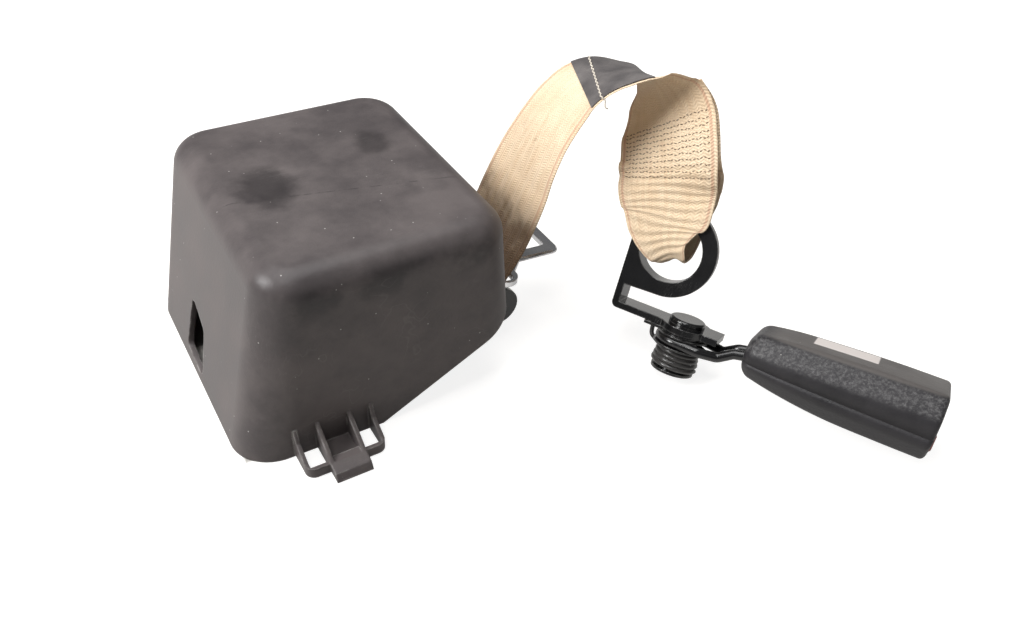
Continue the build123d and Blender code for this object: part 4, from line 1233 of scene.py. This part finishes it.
@dataclass
class Boot:
    """The buckle's two-part boot: a tapered eight-sided shell with soft corners and ends."""

    frame: AnchorFrame
    start: float = 29.0
    end: float = 107.0
    wall: float = 2.2
    parting: float = -1.5
    rear_round: float = 4.5
    front_round: float = 2.1
    corner: float = 3.6
    stations: tuple[tuple[float, float, float, float, float], ...] = (
        (29.0, 17.2, 9.0, 0.9, 5.4), (42.0, 19.2, 11.2, 0.7, 6.8), (64.0, 20.6, 13.3, 0.3, 8.0),
        (88.0, 21.0, 14.0, 0.7, 8.2), (107.0, 21.0, 14.0, 1.0, 8.0))

    def section(self, x: np.ndarray, inset: np.ndarray, upper: bool) -> np.ndarray:
        """Half of the boot's section at each x, as rows of (y, z) pairs.

        The half is the path (-w, p), (-w, c + t - b), (-w + b, c + t) and its mirror image, where
        w, t, c and b are the half width, half height, middle and bevel at x, less the inset, and p
        is the parting height. Each of its four corners is (1-u)^2 p + 2 u (1-u) q + u^2 r.

        Args:
            x: Place along the boot, in millimetres.
            inset: How far the section lies inside the outer form.
            upper: Whether it is the upper half.

        Returns:
            Array of one path of (y, z) pairs per x.
        """
        table = np.array(self.stations)
        half, tall, middle, bevel = hermite(table[:, 0], table[:, 1:], x).T
        w, t, b = half - inset, tall - inset, bevel - 0.6 * inset
        sign = 1.0 if upper else -1.0
        edge = np.full_like(w, self.parting)
        y = np.stack([-w, -w, b - w, w - b, w, w], 1)
        knee, top = middle + sign * (t - b), middle + sign * t
        z = np.stack([edge, knee, top, top, knee, edge], 1)
        corners = np.stack([y, z], -1)
        u = np.linspace(0, 1, 8)[None, :, None]
        rows = [corners[:, :1]]
        for k in range(1, 5):
            here = corners[:, k : k + 1]
            back, ahead = corners[:, k - 1 : k] - here, corners[:, k + 1 : k + 2] - here
            cut = self.corner * 0.72
            p = here + unit(back) * np.minimum(cut, 0.45 * np.linalg.norm(back, axis=-1, keepdims=True))
            r = here + unit(ahead) * np.minimum(cut, 0.45 * np.linalg.norm(ahead, axis=-1, keepdims=True))
            rows.append((1 - u) ** 2 * p + 2 * u * (1 - u) * here + u**2 * r)
        rows.append(corners[:, 5:])
        return np.concatenate(rows, 1)

    def shell(self, name: str, upper: bool) -> bpy.types.Object:
        """One half: outer and inner sections on the same rows, closed at the rear, rimmed in front.

        The rear is a flat face, scaled 0 to 1 about the parting line, and a quarter circle
        (1 - cos a, 1 - sin a) times the rear radius; the front edge is a quarter circle too.

        Args:
            name: Name of the piece.
            upper: Whether it is the upper half.

        Returns:
            The closed mesh object.
        """
        face, turn = np.linspace(0, 1, 6)[:-1], np.linspace(0, math.pi / 2, 9)
        long = np.linspace(self.start + self.rear_round, self.end - self.front_round, 44)[1:-1]
        rear, front, wall = self.rear_round, self.front_round, self.wall
        small = rear - wall
        scale = np.concatenate([face, np.ones(len(turn) * 2 + len(long))])
        flat = np.zeros(len(face))
        out_x = np.concatenate([flat + self.start, self.start + rear * (1 - np.cos(turn)), long,
                                self.end - front * (1 - np.sin(turn))])
        out_in = np.concatenate([flat + rear, rear * (1 - np.sin(turn)), 0 * long, front * (1 - np.cos(turn))])
        in_x = np.concatenate([flat + self.start + wall, self.start + rear - small * np.cos(turn), long,
                               self.end - front * (1 - np.sin(turn))])
        in_in = np.concatenate([flat + rear, rear - small * np.sin(turn), 0 * long + wall, 0 * turn + wall])
        outer, inner = self.section(out_x, out_in, upper), self.section(in_x, in_in, upper)
        centre = np.array([0.0, self.parting])
        outer = centre + (outer - centre) * scale[:, None, None]
        inner = centre + (inner - centre) * scale[:, None, None]
        loop = np.concatenate([outer, inner[:, ::-1]], 1)
        x = np.repeat(np.stack([out_x, in_x], 1), outer.shape[1], 1)
        points = np.concatenate([x[..., None], loop], -1)
        rows, columns = x.shape
        faces = grid_faces(rows, columns, wrap=True).tolist()
        base = (rows - 1) * columns
        far = base + columns - 1
        faces += [[base + i, base + i + 1, far - 1 - i, far - i] for i in range(columns // 2 - 1)]
        piece = make_object(name, self.frame.place(points.reshape(-1, 3)), faces)
        mesh = bmesh.new()
        mesh.from_mesh(piece.data)
        bmesh.ops.remove_doubles(mesh, verts=mesh.verts, dist=1e-6)
        bmesh.ops.dissolve_degenerate(mesh, edges=mesh.edges, dist=1e-7)
        bmesh.ops.recalc_face_normals(mesh, faces=mesh.faces)
        mesh.to_mesh(piece.data)
        mesh.free()
        return piece

    def build(self, finish: "Finishes") -> list[bpy.types.Object]:
        """Make both halves, on the buckle's body.

        Args:
            finish: The materials.

        Returns:
            The two halves.
        """
        pieces = []
        for name, node, upper in (("boot_shell_upper", "boot_upper", True), ("boot_shell_lower", "boot_lower", False)):
            piece = self.shell(name, upper)
            dress(piece, finish.boot)
            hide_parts(node)
            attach(piece, Body.BUCKLE.value)
            pieces.append(piece)
        return pieces


# Finishes of every slot


class Finishes:
    """All materials, by the slot of the record that they dress."""

    def __init__(self, effects: Effects) -> None:
        """Build each material once.

        Args:
            effects: The shared shader groups.
        """
        self.cover = ScuffedCover("cover_moulding", (0.068, 0.059, 0.06, 1), (0.125, 0.108, 0.106, 1),
                                  (0.5, 0.48, 0.46, 1), rough=0.42, grain=900.0, mottle=38.0, wear=0.6,
                                  dust=0.05, scratch=0.1, shine=0.28).build(effects)
        self.boot = BootScuffsPaintedLight("boot_moulding", (0.02, 0.019, 0.021, 1), (0.034, 0.032, 0.035, 1),
                                (0.2, 0.195, 0.19, 1), rough=0.44, grain=700.0, depth=0.00008, wear=0.1,
                                dust=0.03, scratch=0.1, shine=0.3).build(effects)
        self.case = MouldedPlastic("case_moulding", (0.03, 0.03, 0.032, 1), (0.05, 0.05, 0.052, 1),
                                   (0.3, 0.3, 0.3, 1), rough=0.4).build(effects)
        self.bearing = MouldedPlastic("bearing_plastic", (0.62, 0.58, 0.5, 1), (0.7, 0.66, 0.58, 1),
                                      (0.8, 0.78, 0.72, 1), rough=0.35, wear=0.1).build(effects)
        self.button = MouldedPlastic("button_plastic", (0.34, 0.018, 0.014, 1), (0.4, 0.025, 0.018, 1),
                                     (0.55, 0.2, 0.17, 1), rough=0.35, wear=0.2).build(effects)
        self.black = CoatedSteel("black_coat", (0.006, 0.006, 0.0065, 1), 0.0, 0.2, coat=0.3, wear=0.35).build(effects)
        self.spring = CoatedSteel("spring_black", (0.04, 0.038, 0.037, 1), 0.2, 0.3, coat=0.3, wear=0.6).build(effects)
        self.zinc = CoatedSteel("zinc_plate", (0.4, 0.4, 0.38, 1), 0.9, 0.4).build(effects)
        self.bright = CoatedSteel("bright_plate", (0.62, 0.62, 0.63, 1), 1.0, 0.16, wear=0.1).build(effects)
        self.strap = StrapCloth("strap_cloth").build(effects)
        self.label = LabelCloth("label_cloth").build(effects)
        self.seam_thread = Thread("seam_thread", (0.23, 0.16, 0.11, 1)).build(effects)
        self.white_thread = Thread("white_thread", (0.75, 0.68, 0.58, 1)).build(effects)
        self.by_slot = {
            "cover_plastic": self.cover, "boot_plastic": self.boot, "case_plastic": self.case,
            "bearing_plastic": self.bearing, "button_plastic": self.button, "black_steel": self.black,
            "spring_steel": self.spring, "zinc_steel": self.zinc, "bright_steel": self.bright,
            "webbing_cloth": self.strap, "label_cloth": self.label,
        }

    def dress_nodes(self, frame: dict) -> None:
        """Give every CAD node its slot's material; the frame's black nose is set by node.

        Args:
            frame: The loaded part.
        """
        slots = {part["node"]: part["material_slot"] for part in frame["record"]["subparts"]}
        for name, node in frame["nodes"].items():
            material = self.black if name == "retractor_frame" else self.by_slot[slots[name]]
            node.data.materials.clear()
            node.data.materials.append(material)


# Stage


FLOOR_COLOUR = (0.45, 0.435, 0.41, 1)
FLOOR_SEEN, FLOOR_MIRRORED = 0.84, 0.35
SKY_LIGHT = 0.14
UNDER_COVER = ((0.01, 0.0295, 0.031), (0.0115, 0.0565, 0.059))


@dataclass
class Studio:
    """Pale floor, soft lamps and the camera at the photograph's place."""

    place: tuple[float, float, float] = (-0.06223, -0.29204, 0.27817)
    right: tuple[float, float, float] = (0.857, -0.512, 0.053)
    up: tuple[float, float, float] = (0.299, 0.579, 0.759)
    lens: float = 31.64

    def build(self) -> None:
        """Make the floor, the lamps, the world and the camera."""
        scene = bpy.context.scene
        scene.view_settings.view_transform = "Standard"
        self.floor()
        self.lamp("key", (-0.85, 0.2, 0.7), 0.45, 12.5)
        self.lamp("top", (0.0, 0.2, 1.1), 0.9, 9.5)
        self.lamp("front", (0.45, -1.1, 0.9), 0.8, 0.5)
        self.lamp("glint", (-0.37, -0.26, 0.98), 0.14, 1.2)
        self.world()
        self.camera()

    @staticmethod
    def floor() -> None:
        """A wide pale floor that goes to white for the camera, but stays dark under the cover."""
        size = 3.0
        corners = np.array([[-size, -size, 0], [size, -size, 0], [size, size, 0], [-size, size, 0]]) - [0, 0, 0.0002]
        floor = make_object("floor", corners, [[0, 1, 2, 3]])
        material = bpy.data.materials.new("floor_white")
        material.use_nodes = True
        g = Graph(material.node_tree)
        g.tree.nodes.remove(g.tree.nodes["Principled BSDF"])
        path = g.add("LightPath").outputs
        mirrored = g.math("MAXIMUM", path["Is Glossy Ray"], path["Is Transmission Ray"])
        direct = g.math("MULTIPLY", path["Is Camera Ray"], FLOOR_SEEN)
        seen = g.math("MAXIMUM", direct, g.math("MULTIPLY", mirrored, FLOOR_MIRRORED))
        parts = g.add("SeparateXYZ", Vector=g.add("TexCoord").outputs["Object"])
        wide, deep = (
            g.step(g.math("ABSOLUTE", g.math("SUBTRACT", parts.outputs[axis], middle)), inner, outer)
            for axis, (middle, inner, outer) in enumerate(UNDER_COVER)
        )
        open_air = g.math("MAXIMUM", wide, deep)
        flat = g.add("BsdfDiffuse", Color=FLOOR_COLOUR)
        glow = g.add("Emission", Color=(1, 1, 1, 1), Strength=g.math("MULTIPLY", seen, open_air))
        both = g.add("AddShader", i0=flat.outputs[0], i1=glow.outputs[0])
        g.tree.links.new(both.outputs[0], g.tree.nodes["Material Output"].inputs["Surface"])
        dress(floor, material)

    @staticmethod
    def lamp(name: str, place: tuple[float, float, float], size: float, power: float) -> None:
        """A square soft lamp that looks at the object's middle.

        Args:
            name: Name of the lamp.
            place: Where it stands.
            size: Its side in metres.
            power: Its power in watts.
        """
        data = bpy.data.lights.new(name, "AREA")
        data.size, data.energy = size, power
        lamp = bpy.data.objects.new(name, data)
        lamp.location = place
        aim = Vector((0.09, -0.03, 0.04)) - Vector(place)
        lamp.rotation_euler = aim.to_track_quat("-Z", "Y").to_euler()
        bpy.context.scene.collection.objects.link(lamp)

    @staticmethod
    def world() -> None:
        """Even pale sky, white where the camera sees it."""
        world = bpy.data.worlds.new("sky")
        world.use_nodes = True
        sky = world.node_tree.nodes["Background"]
        sky.inputs[0].default_value = (1, 1, 1, 1)
        g = Graph(world.node_tree)
        seen = g.add("LightPath").outputs["Is Camera Ray"]
        g.tree.links.new(g.math("MULTIPLY_ADD", seen, 1 - SKY_LIGHT, SKY_LIGHT), sky.inputs[1])
        bpy.context.scene.world = world

    def camera(self) -> None:
        """The camera: its axes are right, up and minus forward."""
        data = bpy.data.cameras.new("view")
        data.lens, data.sensor_width = self.lens, 36.0
        right, up = Vector(self.right).normalized(), Vector(self.up)
        up = (up - right * up.dot(right)).normalized()
        back = right.cross(up)
        camera = bpy.data.objects.new("view", data)
        camera.matrix_world = Matrix.Translation(self.place) @ Matrix((right, up, back)).transposed().to_4x4()
        bpy.context.scene.collection.objects.link(camera)
        bpy.context.scene.camera = camera


def main() -> None:
    """Load the part, dress it, add the soft and fine pieces, and set the stage."""
    logging.basicConfig(level=logging.INFO, format="%(name)s: %(message)s")
    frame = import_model()
    effects = Effects()
    finish = Finishes(effects)
    finish.dress_nodes(frame)
    anchor = AnchorFrame()
    builders = (Strap(anchor), Wires(anchor), Boot(anchor))
    for builder in builders:
        for piece in builder.build(finish):
            LOG.info("%s: %d faces", piece.name, len(piece.data.polygons))
    Studio().build()


if __name__ == "__main__":
    main()
